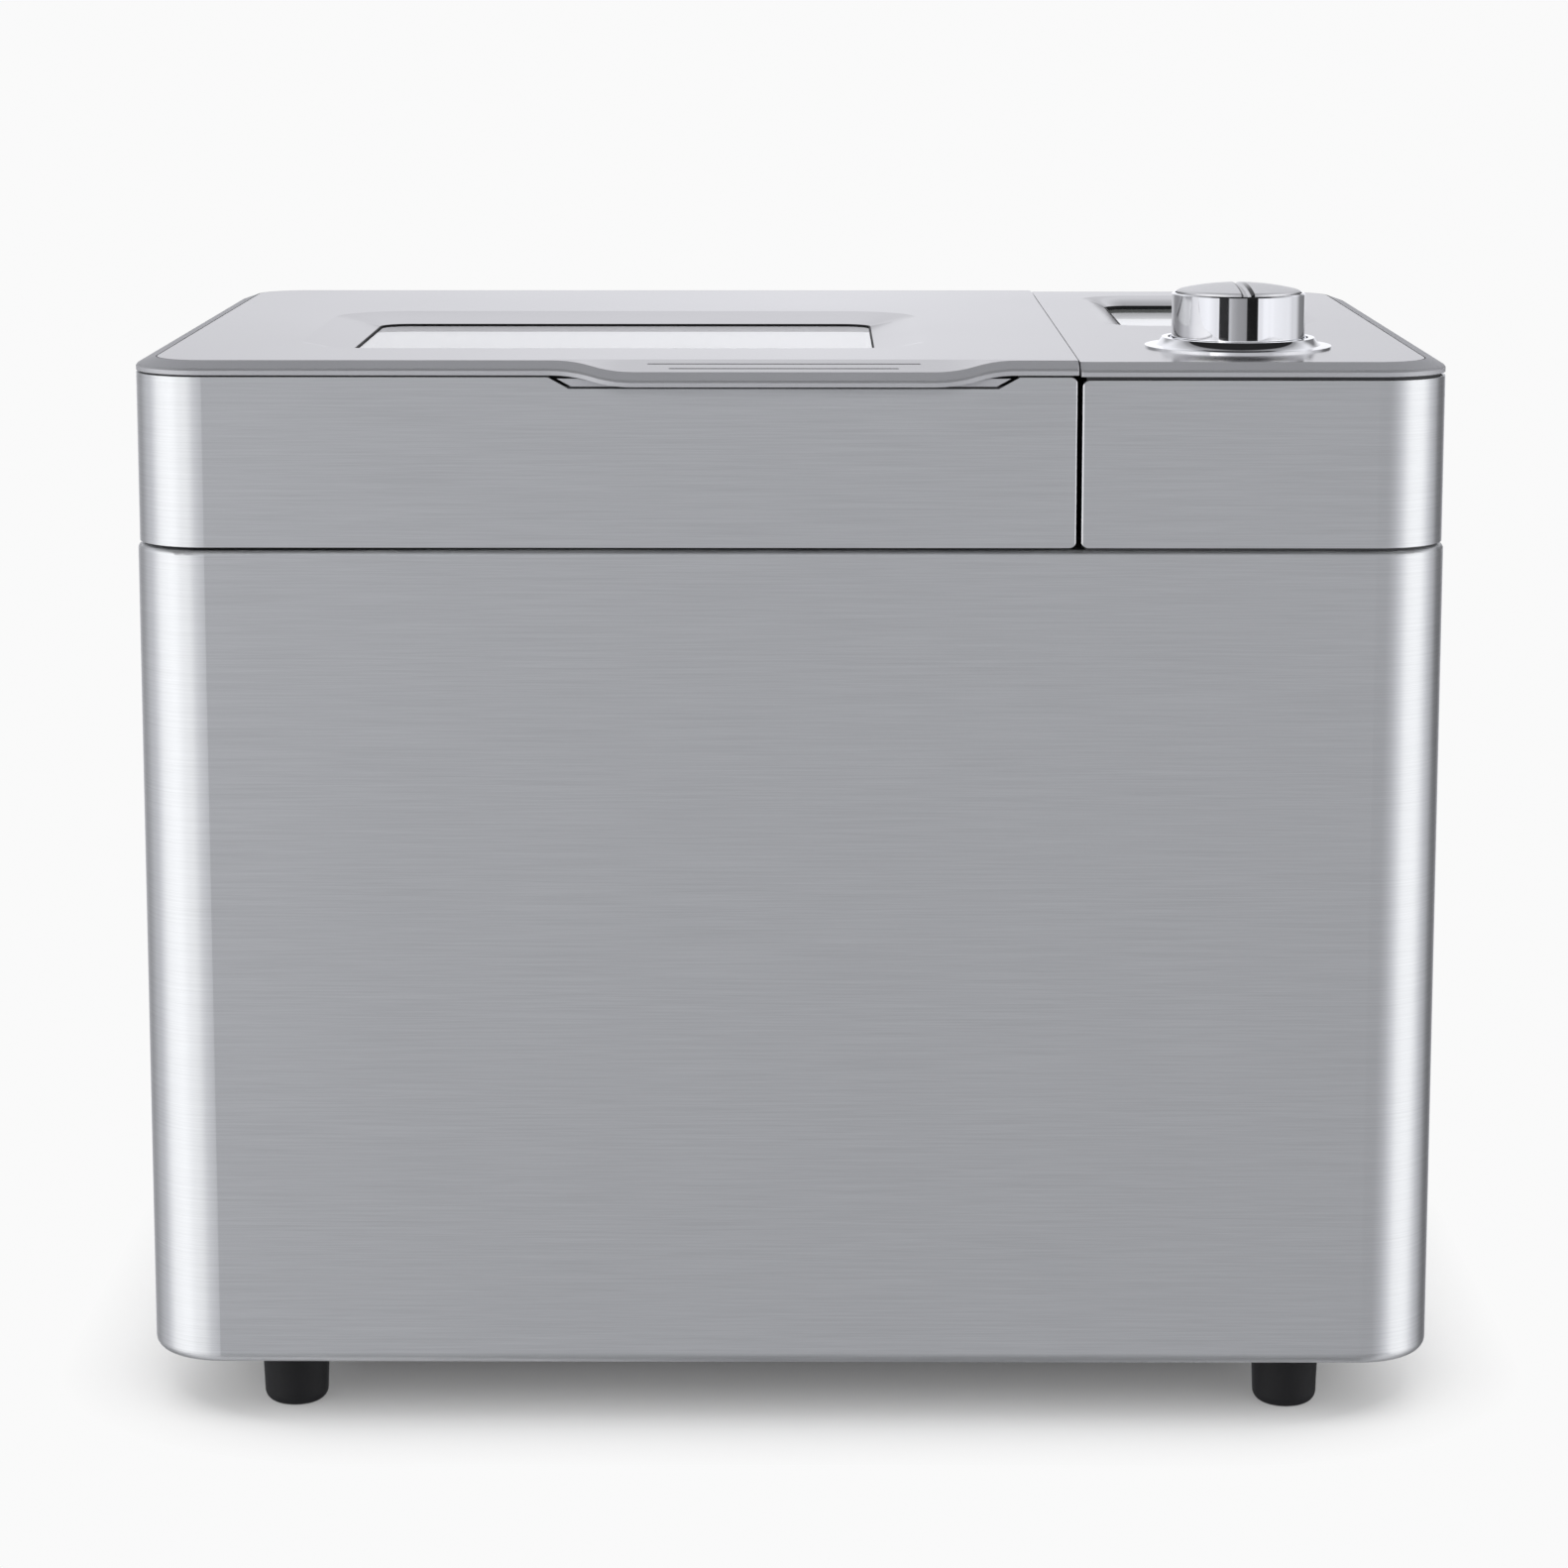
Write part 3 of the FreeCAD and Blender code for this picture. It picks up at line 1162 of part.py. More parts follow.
def lid_top_plate():
    """Plate with the dished window opening, the apron over the lip and two fine grooves."""
    flat = LID.inset(RIM_CHAMFER_W + PLATE_GROOVE, 0).prism(Z_TOP - PLATE, Z_TOP)
    end = LIP_FLAT / 2 + LIP_BLEND
    hem = UPPER_FRONT + APRON_DEPTH
    flat = flat.cut(box(LIP_X - end, LIP_X + end, UPPER_FRONT - 1, hem, Z_RIM, Z_TOP + 1))
    edge = RIM_CHAMFER_W + PLATE_GROOVE
    pieces = [flat]
    for piece in lip_path(edge, Z_TOP):
        first, last = (vertex.Point for vertex in piece.Vertexes)
        straight = Part.makeLine(Vector(first.x, hem, Z_TOP), Vector(last.x, hem, Z_TOP))
        pieces.append(Part.makeRuledSurface(piece, straight).extrude(Vector(0, 0, -PLATE)))
    block, cuts = dished(WINDOW, Z_TOP, WINDOW_SLOPE, WINDOW_DROP, WINDOW_LIP, WINDOW_BOW)
    pieces.append(block)
    reach = lip_shift()
    run = APRON_DEPTH - edge - reach.y
    for setback, length in ((GROOVE_REAR, GROOVE_LONG), (GROOVE_FRONT, GROOVE_SHORT)):
        drop = LIP_DROP * (APRON_DEPTH - setback) / run
        y = UPPER_FRONT + setback
        half = GROOVE_WIDTH / 2
        outline = Plan(LIP_X - length / 2, LIP_X + length / 2, y - half, y + half, [half - 0.01] * 4)
        cuts.append(outline.prism(Z_TOP - drop - GROOVE_DEPTH, Z_TOP + 1))
    return joined(pieces).cut(cuts)


def grip_insert():
    """Moulding that fills the notch and closes the underside of the lip."""
    low = Z_RIM - LIP_DROP - FIT
    rim = lid_rim()
    moves = [Vector(0, back, -drop) for back in (0, FIT) for drop in (0, FIT)]
    clear = [rim.translated(move) for move in moves]
    high = Z_TOP - LIP_DROP - PLATE - FIT
    face = notch_outline(NOTCH_LINE, high, UPPER_FRONT, UPPER_FRONT + BAND_WALL).cut(clear)
    front = UPPER_FRONT + RIM_CHAMFER_W + lip_shift().y + FIT
    under = box(LIP_X - LIP_FLAT / 2, LIP_X + LIP_FLAT / 2, front, UPPER_FRONT + BAND_WALL, low, low + GRIP_SHEET)
    return joined([face, under])


def lid_frame():
    """Moulded carrier inside the band with a web under the glass, ribs under the plate and the hinge barrels."""
    outer = BAND_WALL + FIT
    low = Z_BAND + FIT
    shell = lid_block(outer, low, Z_RIM).cut(lid_block(outer + FRAME_WALL, Z_BAND - 2, Z_RIM + 1))
    web_top = Z_GLASS - GLASS - GASKET
    room = LID.inset(outer + FIT, outer + FIT + BAND_SPLIT).prism(web_top - FRAME_WEB, web_top)
    ledge = WINDOW.inset(-GLASS_LAP - FIT - FRAME_WALL).prism(web_top, Z_GLASS)
    ledge = ledge.cut(WINDOW.inset(-GLASS_LAP - FIT).prism(web_top - 1, Z_GLASS + 1))
    inner_top = Z_CEILING + LINER + GLASS
    press = WINDOW.inset(-2).prism(inner_top, web_top).cut(WINDOW.inset(2).prism(inner_top - 1, web_top + 1))
    support = LID.inset(APRON_DEPTH + 4).prism(web_top - 0.5, Z_TOP - PLATE)
    support = support.cut(LID.inset(APRON_DEPTH + 6).prism(web_top - 1, Z_TOP))
    pieces = [shell, room.cut(WINDOW.inset(2).prism(web_top - 5, web_top + 1)), ledge, press, support]
    half = EAR_WIDTH / 2 + 2 * FIT
    for x in HINGE_XS:
        for left, right in ((x - half - PIN_GRIP, x - half), (x + half, x + half + PIN_GRIP)):
            pieces.append(bar(HINGE_R - outer, left, right, HINGE_Y, HINGE_Z))
    end = LIP_FLAT / 2 + LIP_BLEND
    lip = box(
        LIP_X - end, LIP_X + end, UPPER_FRONT, UPPER_FRONT + RIM_CHAMFER_W + FIT, Z_RIM - LIP_DROP - FIT, Z_TOP
    )
    return joined(pieces).cut([lip] + hinge_notches() + hinge_pins().Solids)


def window_glass():
    """Outer pane under the dish."""
    return WINDOW.inset(-GLASS_LAP).prism(Z_GLASS - GLASS, Z_GLASS)


def window_gasket():
    """Rubber ring under the outer pane and the lip that shows around it."""
    low = Z_GLASS - GLASS - GASKET
    under = WINDOW.inset(-GLASS_LAP).prism(low, low + GASKET)
    under = under.cut(WINDOW.inset(-1).prism(low - 1, low + GASKET + 1))
    return group([under, pane_lip(WINDOW, Z_GLASS, WINDOW_LIP)])


def inner_glass():
    """Inner pane on the liner's ceiling."""
    low = Z_CEILING + LINER
    return WINDOW.inset(-GLASS_LAP).prism(low, low + GLASS)


def lid_liner():
    """Drawn inner skin of the lid: flange, domed walls and a ceiling open for the inner pane."""
    edge = BAND_WALL + FRAME_WALL + 3 * FIT
    skin = LID.inset(edge)
    skin.rear = HINGE_Y - HINGE_R - 1
    flange = skin.prism(Z_LINER, Z_LINER + LINER)
    dome = DOME.inset(-LINER).prism(Z_LINER, Z_CEILING + LINER)
    dome = dome.makeFillet(DOME_ROUND + LINER, edges_at(dome, Z_CEILING + LINER))
    hollow = DOME.prism(Z_LINER - 1, Z_CEILING)
    hollow = hollow.makeFillet(DOME_ROUND, edges_at(hollow, Z_CEILING))
    pane = WINDOW.prism(Z_CEILING - 1, Z_CEILING + LINER + 1)
    return joined([flange, dome]).cut([hollow, pane])


def lid_seal():
    """Silicone ring between the liner and the chamber flange."""
    ring = CHAMBER.inset(-SEAL_WIDTH - 1.5).prism(Z_DECK + FIT, Z_LINER)
    ring = ring.cut(CHAMBER.inset(-1.5).prism(Z_DECK, Z_LINER + 1))
    return ring.makeFillet(1.0, edges_at(ring, Z_DECK + FIT))


def control_top_plate():
    """Plate with the dished display opening, the knob hole and board bosses."""
    flat = CONTROL.inset(RIM_CHAMFER_W + PLATE_GROOVE, 0).prism(Z_PANEL - PLATE, Z_PANEL)
    block, cuts = dished(DISPLAY, Z_PANEL, DISPLAY_SLOPE, DISPLAY_DROP, DISPLAY_LIP, DISPLAY_BOW)
    pieces = [flat, block]
    for x, y in board_spots():
        pieces.append(post(3.0, x, y, Z_BOARD, Z_PANEL - PLATE / 2))
    cuts.append(post(SHAFT_RADIUS + 1.6, PANEL_X, KNOB_Y, Z_RIM, Z_TOP + 1))
    return joined(pieces).cut(cuts)


def board_plan():
    """Outline of the control board, as wide as its housing lets it be."""
    front = KNOB_Y - 26
    return Plan(CONTROL.left + BOARD_LEFT, CONTROL.right - BOARD_RIGHT, front, DISPLAY.rear + 8, [3] * 4)


def board_spots():
    """Boss positions at the board's front corners and beside the display."""
    plan = board_plan()
    return [(x, y) for x in (plan.left + 5, plan.right - 5) for y in (plan.front + 5, DISPLAY.front - 14)]


def control_board():
    """Circuit board behind the control top."""
    return board_plan().prism(Z_BOARD - BOARD, Z_BOARD)


def control_frame():
    """Moulded carrier inside the control band, standing on the deck."""
    outer = BAND_WALL + FIT
    outline = CONTROL.inset(outer, outer + BAND_SPLIT)
    return outline.prism(Z_DECK, Z_PANEL_RIM).cut(outline.inset(FRAME_WALL).prism(Z_DECK - 1, Z_RIM))


def display_lens():
    """Clear lens under the display dish."""
    return DISPLAY.inset(-LENS_LAP).prism(Z_LENS, Z_LENS_TOP)


def display_gasket():
    """Dark lip around the lens inside the dish."""
    return pane_lip(DISPLAY, Z_LENS_TOP, DISPLAY_LIP)


def display_module():
    """Display panel between the board and the lens."""
    return DISPLAY.inset(2).prism(Z_BOARD, Z_LENS - FIT)


def encoder_body():
    """Rotary encoder on the board with a threaded neck."""
    block = plan_about(PANEL_X, KNOB_Y, ENCODER_WIDTH, ENCODER_WIDTH, 1).prism(Z_BOARD, Z_BOARD + ENCODER_HEIGHT)
    neck = post(SHAFT_RADIUS + 1.2, PANEL_X, KNOB_Y, Z_BOARD, Z_PANEL - CONTACT)
    bore = post(SHAFT_RADIUS + RUNNING, PANEL_X, KNOB_Y, Z_BOARD - 1, Z_TOP + 1)
    return joined([block, neck]).cut(bore)


def switch_plunger():
    """Push-switch plunger under the encoder shaft."""
    low = Z_BOARD + KNOB_PRESS + CONTACT
    return post(SHAFT_RADIUS, PANEL_X, KNOB_Y, low, low + PLUNGER)


def encoder_shaft(ease=0.0):
    """Flatted shaft that carries the knob."""
    low = Z_BOARD + KNOB_PRESS + CONTACT + PLUNGER
    top = Z_KNOB + KNOB_HEIGHT - KNOB_CAP - KNOB_WALL
    radius = SHAFT_RADIUS + ease
    flat = PANEL_X + radius - SHAFT_FLAT
    shaft = post(radius, PANEL_X, KNOB_Y, low, top + ease)
    return shaft.cut(box(flat, flat + radius, KNOB_Y - radius, KNOB_Y + radius, Z_KNOB, top + 1))


def knob_ring():
    """Chromed cup with a hub on the encoder shaft and a seat for the cap."""
    top = Z_KNOB + KNOB_HEIGHT
    web = top + CAP_PROUD - KNOB_CAP
    seat = KNOB_RADIUS - KNOB_LIP
    inner = KNOB_RADIUS - KNOB_WALL
    under = web - KNOB_WALL
    hub = SHAFT_RADIUS + 2.5
    soft = KNOB_LIP * 0.4
    profile = [
        (0, web),
        (seat, web),
        (seat, top),
        (KNOB_RADIUS - soft, top),
        (KNOB_RADIUS, top - soft),
        (KNOB_RADIUS, Z_KNOB + soft),
        (KNOB_RADIUS - soft, Z_KNOB),
        (inner, Z_KNOB),
        (inner, under),
        (hub, under),
        (hub, Z_KNOB),
        (0, Z_KNOB),
    ]
    return turned(profile, PANEL_X, KNOB_Y).cut(encoder_shaft(RUNNING))


def knob_spin(corners, sag):
    """Solid turned about the knob's axis, from corners joined by lines and an arc back to the first one."""
    spots = [Vector(PANEL_X + radius, KNOB_Y, z) for radius, z in corners]
    edges = [Part.makeLine(a, b) for a, b in zip(spots, spots[1:])]
    middle = Vector(PANEL_X + sag[0], KNOB_Y, sag[1])
    edges.append(Part.Arc(spots[-1], middle, spots[0]).toShape())
    return Part.Face(Part.Wire(edges)).revolve(Vector(PANEL_X, KNOB_Y, 0), Vector(0, 0, 1), 360)


def knob_cap():
    """Brushed, crowned disc with a bevelled edge and a tapering V groove as pointer."""
    high = Z_KNOB + KNOB_HEIGHT + CAP_PROUD
    low = high - KNOB_CAP
    radius = KNOB_RADIUS - KNOB_LIP - CAP_GAP
    flat = radius - CAP_BEVEL
    sphere = (flat ** 2 + CAP_CROWN ** 2) / (2 * CAP_CROWN)

    def crown(out):
        return high + CAP_CROWN - sphere + math.sqrt(sphere ** 2 - out ** 2)

    corners = [(0, crown(0)), (0, low), (radius, low), (radius, high - CAP_BEVEL / 2), (flat, high)]
    disc = knob_spin(corners, (flat / 2, crown(flat / 2)))
    cuts = []
    for step in range(POINTER_STEPS + 1):
        share = step / POINTER_STEPS
        out = (2 * share - 1) * (radius + 1)
        half = POINTER_FRONT / 2 + (POINTER_BACK - POINTER_FRONT) / 2 * share
        y = KNOB_Y + out
        surface = crown(out)
        spots = [
            Vector(PANEL_X, y, surface - POINTER_DEPTH),
            Vector(PANEL_X + 2 * half, y, surface + POINTER_DEPTH),
            Vector(PANEL_X - 2 * half, y, surface + POINTER_DEPTH),
        ]
        cuts.append(Part.makePolygon(spots + spots[:1]))
    pointer = Part.makeLoft(cuts, True)
    pointer.rotate(Vector(PANEL_X, KNOB_Y, 0), Vector(0, 0, 1), POINTER_TURN)
    return disc.cut(pointer)


def knob_base():
    """Chrome flange around the knob with a flared collar."""
    crest = KNOB_RADIUS + 2.9
    well = KNOB_RADIUS + 1.0
    floor = Z_KNOB - KNOB_PRESS - CONTACT
    bore = SHAFT_RADIUS + 1.6
    rise = Z_PANEL + KNOB_BASE_RISE
    edge = Z_PANEL + KNOB_BASE_EDGE
    root = KNOB_BASE_RADIUS - FLANGE_WIDTH
    corners = [
        (crest, rise),
        (well, rise),
        (well, floor),
        (bore, floor),
        (bore, Z_PANEL),
        (KNOB_BASE_RADIUS, Z_PANEL),
        (KNOB_BASE_RADIUS, edge),
        (root, edge + FLANGE_RISE),
    ]
    middle = (edge + FLANGE_RISE + rise) / 2
    return knob_spin(corners, ((root + crest) / 2 - FLARE_SAG, middle - FLARE_SAG))


NODES = [
    casing,
    base_plate,
    feet,
    cord_gland,
    top_deck,
    baking_chamber,
    heating_element,
    heater_clips,
    temperature_sensor,
    heat_shield,
    pan_seat,
    bearing_housing,
    drive_bushes,
    drive_shaft,
    drive_coupling,
    driven_pulley,
    drive_belt,
    motor_pulley,
    motor_rotor,
    motor_stator,
    motor_coils,
    motor_bells,
    motor_bracket,
    motor_grommets,
    power_board,
    power_components,
    bread_pan,
    pan_base,
    pan_bush,
    pan_ears,
    pan_handle,
    paddle_shaft,
    pan_coupling,
    kneading_paddle,
    hinge_brackets,
    hinge_pins,
    lid_band,
    lid_rim,
    lid_top_plate,
    grip_insert,
    lid_frame,
    lid_liner,
    lid_seal,
    window_glass,
    window_gasket,
    inner_glass,
    control_band,
    control_rim,
    control_top_plate,
    control_frame,
    control_board,
    display_lens,
    display_gasket,
    display_module,
    encoder_body,
    switch_plunger,
    encoder_shaft,
    knob_ring,
    knob_cap,
    knob_base,
]

os.makedirs("parts", exist_ok=True)
for make in NODES:
    make().exportStep("parts/" + make.__name__ + ".step")
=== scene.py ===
"""Studio scene of a bread machine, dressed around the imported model."""

import json
import math

import bmesh
import bpy
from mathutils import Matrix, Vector
from mathutils.bvhtree import BVHTree


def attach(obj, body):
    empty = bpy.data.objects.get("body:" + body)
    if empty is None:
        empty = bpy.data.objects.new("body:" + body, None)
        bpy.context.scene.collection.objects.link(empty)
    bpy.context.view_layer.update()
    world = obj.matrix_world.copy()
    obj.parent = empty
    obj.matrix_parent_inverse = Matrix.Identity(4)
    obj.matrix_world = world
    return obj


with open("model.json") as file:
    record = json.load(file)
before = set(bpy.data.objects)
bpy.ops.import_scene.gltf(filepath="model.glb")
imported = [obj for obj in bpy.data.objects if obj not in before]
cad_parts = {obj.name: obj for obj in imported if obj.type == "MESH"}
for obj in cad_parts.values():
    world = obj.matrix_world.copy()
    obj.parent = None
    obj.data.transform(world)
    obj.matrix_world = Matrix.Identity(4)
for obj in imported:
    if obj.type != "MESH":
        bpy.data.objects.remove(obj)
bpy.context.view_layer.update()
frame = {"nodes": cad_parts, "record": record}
nodes = frame["nodes"]

PHOTO_SIDE = 1582
FOCAL_PIXELS = 4316.8
SENSOR = 36.0
CAMERA_SPOT = (0.00446, -1.35483, 0.4284)
CAMERA_PITCH = math.radians(8.8105)
CAMERA_YAW = math.radians(-0.2913)
CAMERA_SHIFT = -0.10

BACKGROUND = 0.955
WORLD_DIFFUSE = 0.94
FLOOR_COLOUR = 0.955
FLOOR_REACH = 6.0
SHADOW_MIDDLE = (0.0, 0.0025, 0.0)
SHADOW_CORE = (0.1285, 0.0775)
SHADOW_REACH = 0.10
SHADOW_FADE = [(0.0, 0.075), (0.25, 0.15), (0.45, 0.25), (0.62, 0.26), (0.71, 0.50), (0.80, 0.72), (0.97, 1.0)]

ROOM_PEAK = 2.8
ROOM = [
    (-180, 1.18), (-172, 1.03), (-160, 0.90), (-148, 0.45), (-132, 0.45), (-102, 1.10), (-84, 2.40), (-58, 2.80),
    (-46, 2.35), (-32, 2.20), (-15, 1.05), (-6, 0.88), (36, 0.88), (50, 1.60), (60, 2.50), (84, 2.50),
    (102, 1.20), (126, 0.25), (148, 0.20), (162, 0.90), (172, 1.03), (180, 1.18),
]
DARK_CARDS = [
    (-40, 0.0), (-38.5, 0.985), (-22, 0.985), (-20.5, 0.56), (8.5, 0.66), (10, 0.985), (28, 0.985), (29.5, 0.0),
]
DARK_HEIGHT = [(0.420, 0.0), (0.438, 1.0), (0.480, 1.0), (0.498, 0.0)]
SIDE_CARDS = [
    (-112, 0.0), (-100, 0.34), (-84, 0.62), (-40, 0.62), (-38.5, 0.0), (38, 0.0), (50, 0.38), (60, 0.61),
    (84, 0.64), (102, 0.40), (115, 0.0),
]
SIDE_HEIGHT = [(0.420, 0.0), (0.438, 1.0), (0.497, 1.0), (0.503, 0.78), (0.550, 0.78), (0.575, 0.0)]
CEILING = [
    (0, 1.10), (30, 1.06), (40, 0.92), (52, 0.68), (62, 0.53), (69, 0.38), (76, 0.30), (79, 0.28), (83, 0.02),
    (127, 0.02), (142, 0.60), (150, 0.88), (180, 0.88),
]
CEILING_RISE = (0.32, 0.55)
COOL_GREY = (0.985, 0.99, 1.035)
COOL_BELOW = 2.2
GROUND_SHADE = 0.30
GROUND_RISE = (-0.60, -0.25)

LAMP_SIZE = 1.2
LAMP_TARGET = (0.0, 0.0, 0.15)
LAMPS = [("key", (-0.9, -1.0, 1.8), 3.0), ("fill", (1.1, -0.6, 1.6), 2.0)]

KNOB_AXIS = (0.133375, -0.0795)
POINTER_TURN = math.radians(3.2)
POINTER_SPAN = 0.008
POINTER_FADE = (-0.012, 0.003)
# Levels of painted shade across the flanks of the knob's pointer groove, by distance from its line.
POINTER_FLANK_SHADE = [
    (-0.0021, 0.0), (-0.0019, 0.8), (-0.0015, 0.8), (-0.0013, 0.0), (0.0007, 0.0), (0.0010, 1.0), (0.0019, 1.0),
    (0.0021, 0.0),
]
LIP_X = -0.0018
GROOVES = [(-0.1304, 0.0785), (-0.13345, 0.066)]
GROOVE_WIDTH = 0.0007
# Dark strips of painted shade laid in the two fine grooves over the finger lip.
SHADE_STRIP_GAP = 0.00004
SHADE_STRIP_END_GAP = 0.0001
SHADE_STRIP_END_SLANT = 0.6
SHADE_STRIP_THICKNESS = 0.00008
SHADE_STRIP_TOP = [(-1.0, 0.00022), (-0.5, 0.00010), (0.5, 0.00010), (1.0, 0.00022)]
OVER_LID = 0.4
BASE_SCREWS = [(-0.172, 0.0), (0.172, 0.03), (-0.06, -0.12), (0.06, -0.12), (-0.06, 0.122), (0.06, 0.122)]
BASE_SCREW_HEAD = 0.0038
UNDER_BASE = -0.1
LINER_SCREWS = [(-0.176, -0.114), (0.066, -0.114), (-0.176, 0.106), (0.066, 0.106)]
LINER_SCREW_HEAD = 0.0032
UNDER_LINER = 0.20
PAN_MIDDLE = (-0.053675, -0.01025)
RIVET_HEIGHT = 0.196
RIVET_SHIFTS = (-0.0045, 0.0045)
RIVET_HEAD = 0.0024
BESIDE_PAN = 0.2

WAVE_SCALE = 0.3183
RING_SCALE = 4200.0
CLIP_END = 50.0


class Finish:
    """One procedural material, built around its principled shader."""

    def __init__(self, name, colour, roughness, metallic=0.0):
        self.material = bpy.data.materials.new(name)
        self.material.use_nodes = True
        self.nodes = self.material.node_tree.nodes
        self.links = self.material.node_tree.links
        self.shader = self.nodes["Principled BSDF"]
        self.colour = colour
        self.set("Base Color", (*colour, 1.0))
        self.set("Roughness", roughness)
        self.set("Metallic", metallic)
        self.place = self.nodes.new("ShaderNodeTexCoord").outputs["Object"]
        self.normal = None

    def set(self, socket, value):
        self.shader.inputs[socket].default_value = value

    def noise(self, stretch, detail=3.0, rough=0.55):
        """Noise whose features per metre along X, Y and Z are given."""
        mapping = self.nodes.new("ShaderNodeMapping")
        mapping.inputs["Scale"].default_value = stretch
        self.links.new(self.place, mapping.inputs["Vector"])
        return self.noise_at(mapping.outputs["Vector"], 1.0, detail, rough)

    def noise_at(self, vector, scale, detail=3.0, rough=0.55):
        texture = self.nodes.new("ShaderNodeTexNoise")
        texture.inputs["Scale"].default_value = scale
        texture.inputs["Detail"].default_value = detail
        texture.inputs["Roughness"].default_value = rough
        self.links.new(vector, texture.inputs["Vector"])
        return texture.outputs["Fac"]

    def math(self, operation, first, second):
        node = self.nodes.new("ShaderNodeMath")
        node.operation = operation
        for socket, value in zip(node.inputs, (first, second)):
            if isinstance(value, (int, float)):
                socket.default_value = value
            else:
                self.links.new(value, socket)
        return node.outputs["Value"]

    def spread(self, fac, low, high, start=0.3, end=0.7):
        """Maps start..end of a factor to low..high."""
        node = self.nodes.new("ShaderNodeMapRange")
        node.inputs["From Min"].default_value = start
        node.inputs["From Max"].default_value = end
        node.inputs["To Min"].default_value = low
        node.inputs["To Max"].default_value = high
        self.links.new(fac, node.inputs["Value"])
        return node.outputs["Result"]

    def tint(self, fac, darker, lighter):
        """Base colour between two shares of the written colour."""
        node = self.nodes.new("ShaderNodeMix")
        node.data_type = "RGBA"
        for socket, share in ((node.inputs[6], darker), (node.inputs[7], lighter)):
            socket.default_value = (*[c * share for c in self.colour], 1.0)
        self.links.new(fac, node.inputs[0])
        self.links.new(node.outputs[2], self.shader.inputs["Base Color"])

    def roughen(self, fac, low, high):
        self.links.new(self.spread(fac, low, high), self.shader.inputs["Roughness"])

    def bump(self, height, depth, strength=1.0):
        node = self.nodes.new("ShaderNodeBump")
        node.inputs["Strength"].default_value = strength
        node.inputs["Distance"].default_value = depth
        self.links.new(height, node.inputs["Height"])
        if self.normal is not None:
            self.links.new(self.normal, node.inputs["Normal"])
        self.normal = node.outputs["Normal"]
        self.links.new(self.normal, self.shader.inputs["Normal"])


def ramp(tree, fac, stops):
    """Levels of grey along a factor, straight between the given stops."""
    node = tree.nodes.new("ShaderNodeValToRGB")
    elements = node.color_ramp.elements
    while len(elements) < len(stops):
        elements.new(0.5)
    for element, (spot, level) in zip(elements, stops):
        element.position = spot
        element.color = (level, level, level, 1.0)
    tree.links.new(fac, node.inputs["Fac"])
    return node.outputs["Color"]


def brushed_steel():
    """Sheet with a horizontal grain."""
    finish = Finish("brushed_steel", (0.63, 0.64, 0.649), 0.36, 1.0)
    long = finish.noise((22.0, 22.0, 1500.0), 4.0, 0.6)
    short = finish.noise((75.0, 75.0, 3600.0), 3.0, 0.6)
    both = finish.math("ADD", finish.math("MULTIPLY", long, 0.6), finish.math("MULTIPLY", short, 0.4))
    finish.tint(finish.spread(both, 0.0, 1.0, 0.36, 0.64), 0.93, 1.07)
    finish.roughen(short, 0.33, 0.39)
    finish.bump(both, 0.000012, 0.5)
    finish.set("Anisotropic", 0.95)
    finish.set("Anisotropic Rotation", 0.25)
    return finish


def silver_trim():
    """Matt silver paint on the rims."""
    finish = Finish("silver_trim", (0.475, 0.478, 0.495), 0.63, 0.9)
    flake = finish.noise((2600.0, 2600.0, 2600.0), 2.0)
    cloud = finish.noise((30.0, 30.0, 30.0), 2.0)
    finish.tint(finish.spread(flake, 0.0, 1.0, 0.3, 0.7), 0.97, 1.03)
    finish.roughen(cloud, 0.60, 0.66)
    return finish


def silver_plate():
    """Smooth top plates, dulled where seen at a low angle."""
    finish = Finish("silver_plate", (0.74, 0.738, 0.744), 0.13, 1.0)
    grain = finish.noise((60.0, 2400.0, 2400.0), 3.0)
    cloud = finish.noise((9.0, 9.0, 9.0), 2.0)
    finish.tint(finish.spread(grain, 0.0, 1.0, 0.3, 0.7), 0.985, 1.015)
    finish.roughen(cloud, 0.11, 0.15)
    finish.set("Specular Tint", (0.627, 0.624, 0.628, 1.0))
    return finish


def chrome():
    """Bright plating with faint smears."""
    finish = Finish("chrome", (0.86, 0.865, 0.88), 0.05, 1.0)
    smear = finish.noise((120.0, 120.0, 40.0), 3.0)
    finish.roughen(smear, 0.03, 0.08)
    return finish


def pointer_painted_shade(finish, flat):
    """Painted shade on the flanks of the pointer groove, fading towards the middle of the knob."""
    split = finish.nodes.new("ShaderNodeSeparateXYZ")
    finish.links.new(flat, split.inputs["Vector"])
    x, y, _ = split.outputs
    across = finish.math("ADD", x, finish.math("MULTIPLY", y, math.tan(POINTER_TURN)))
    spot = finish.math("ADD", finish.math("DIVIDE", across, POINTER_SPAN), 0.5)
    flank_shade = ramp(finish.material.node_tree, spot, [(a / POINTER_SPAN + 0.5, level) for a, level in POINTER_FLANK_SHADE])
    return finish.math("MULTIPLY", flank_shade, finish.spread(y, 1.0, 0.0, *POINTER_FADE))


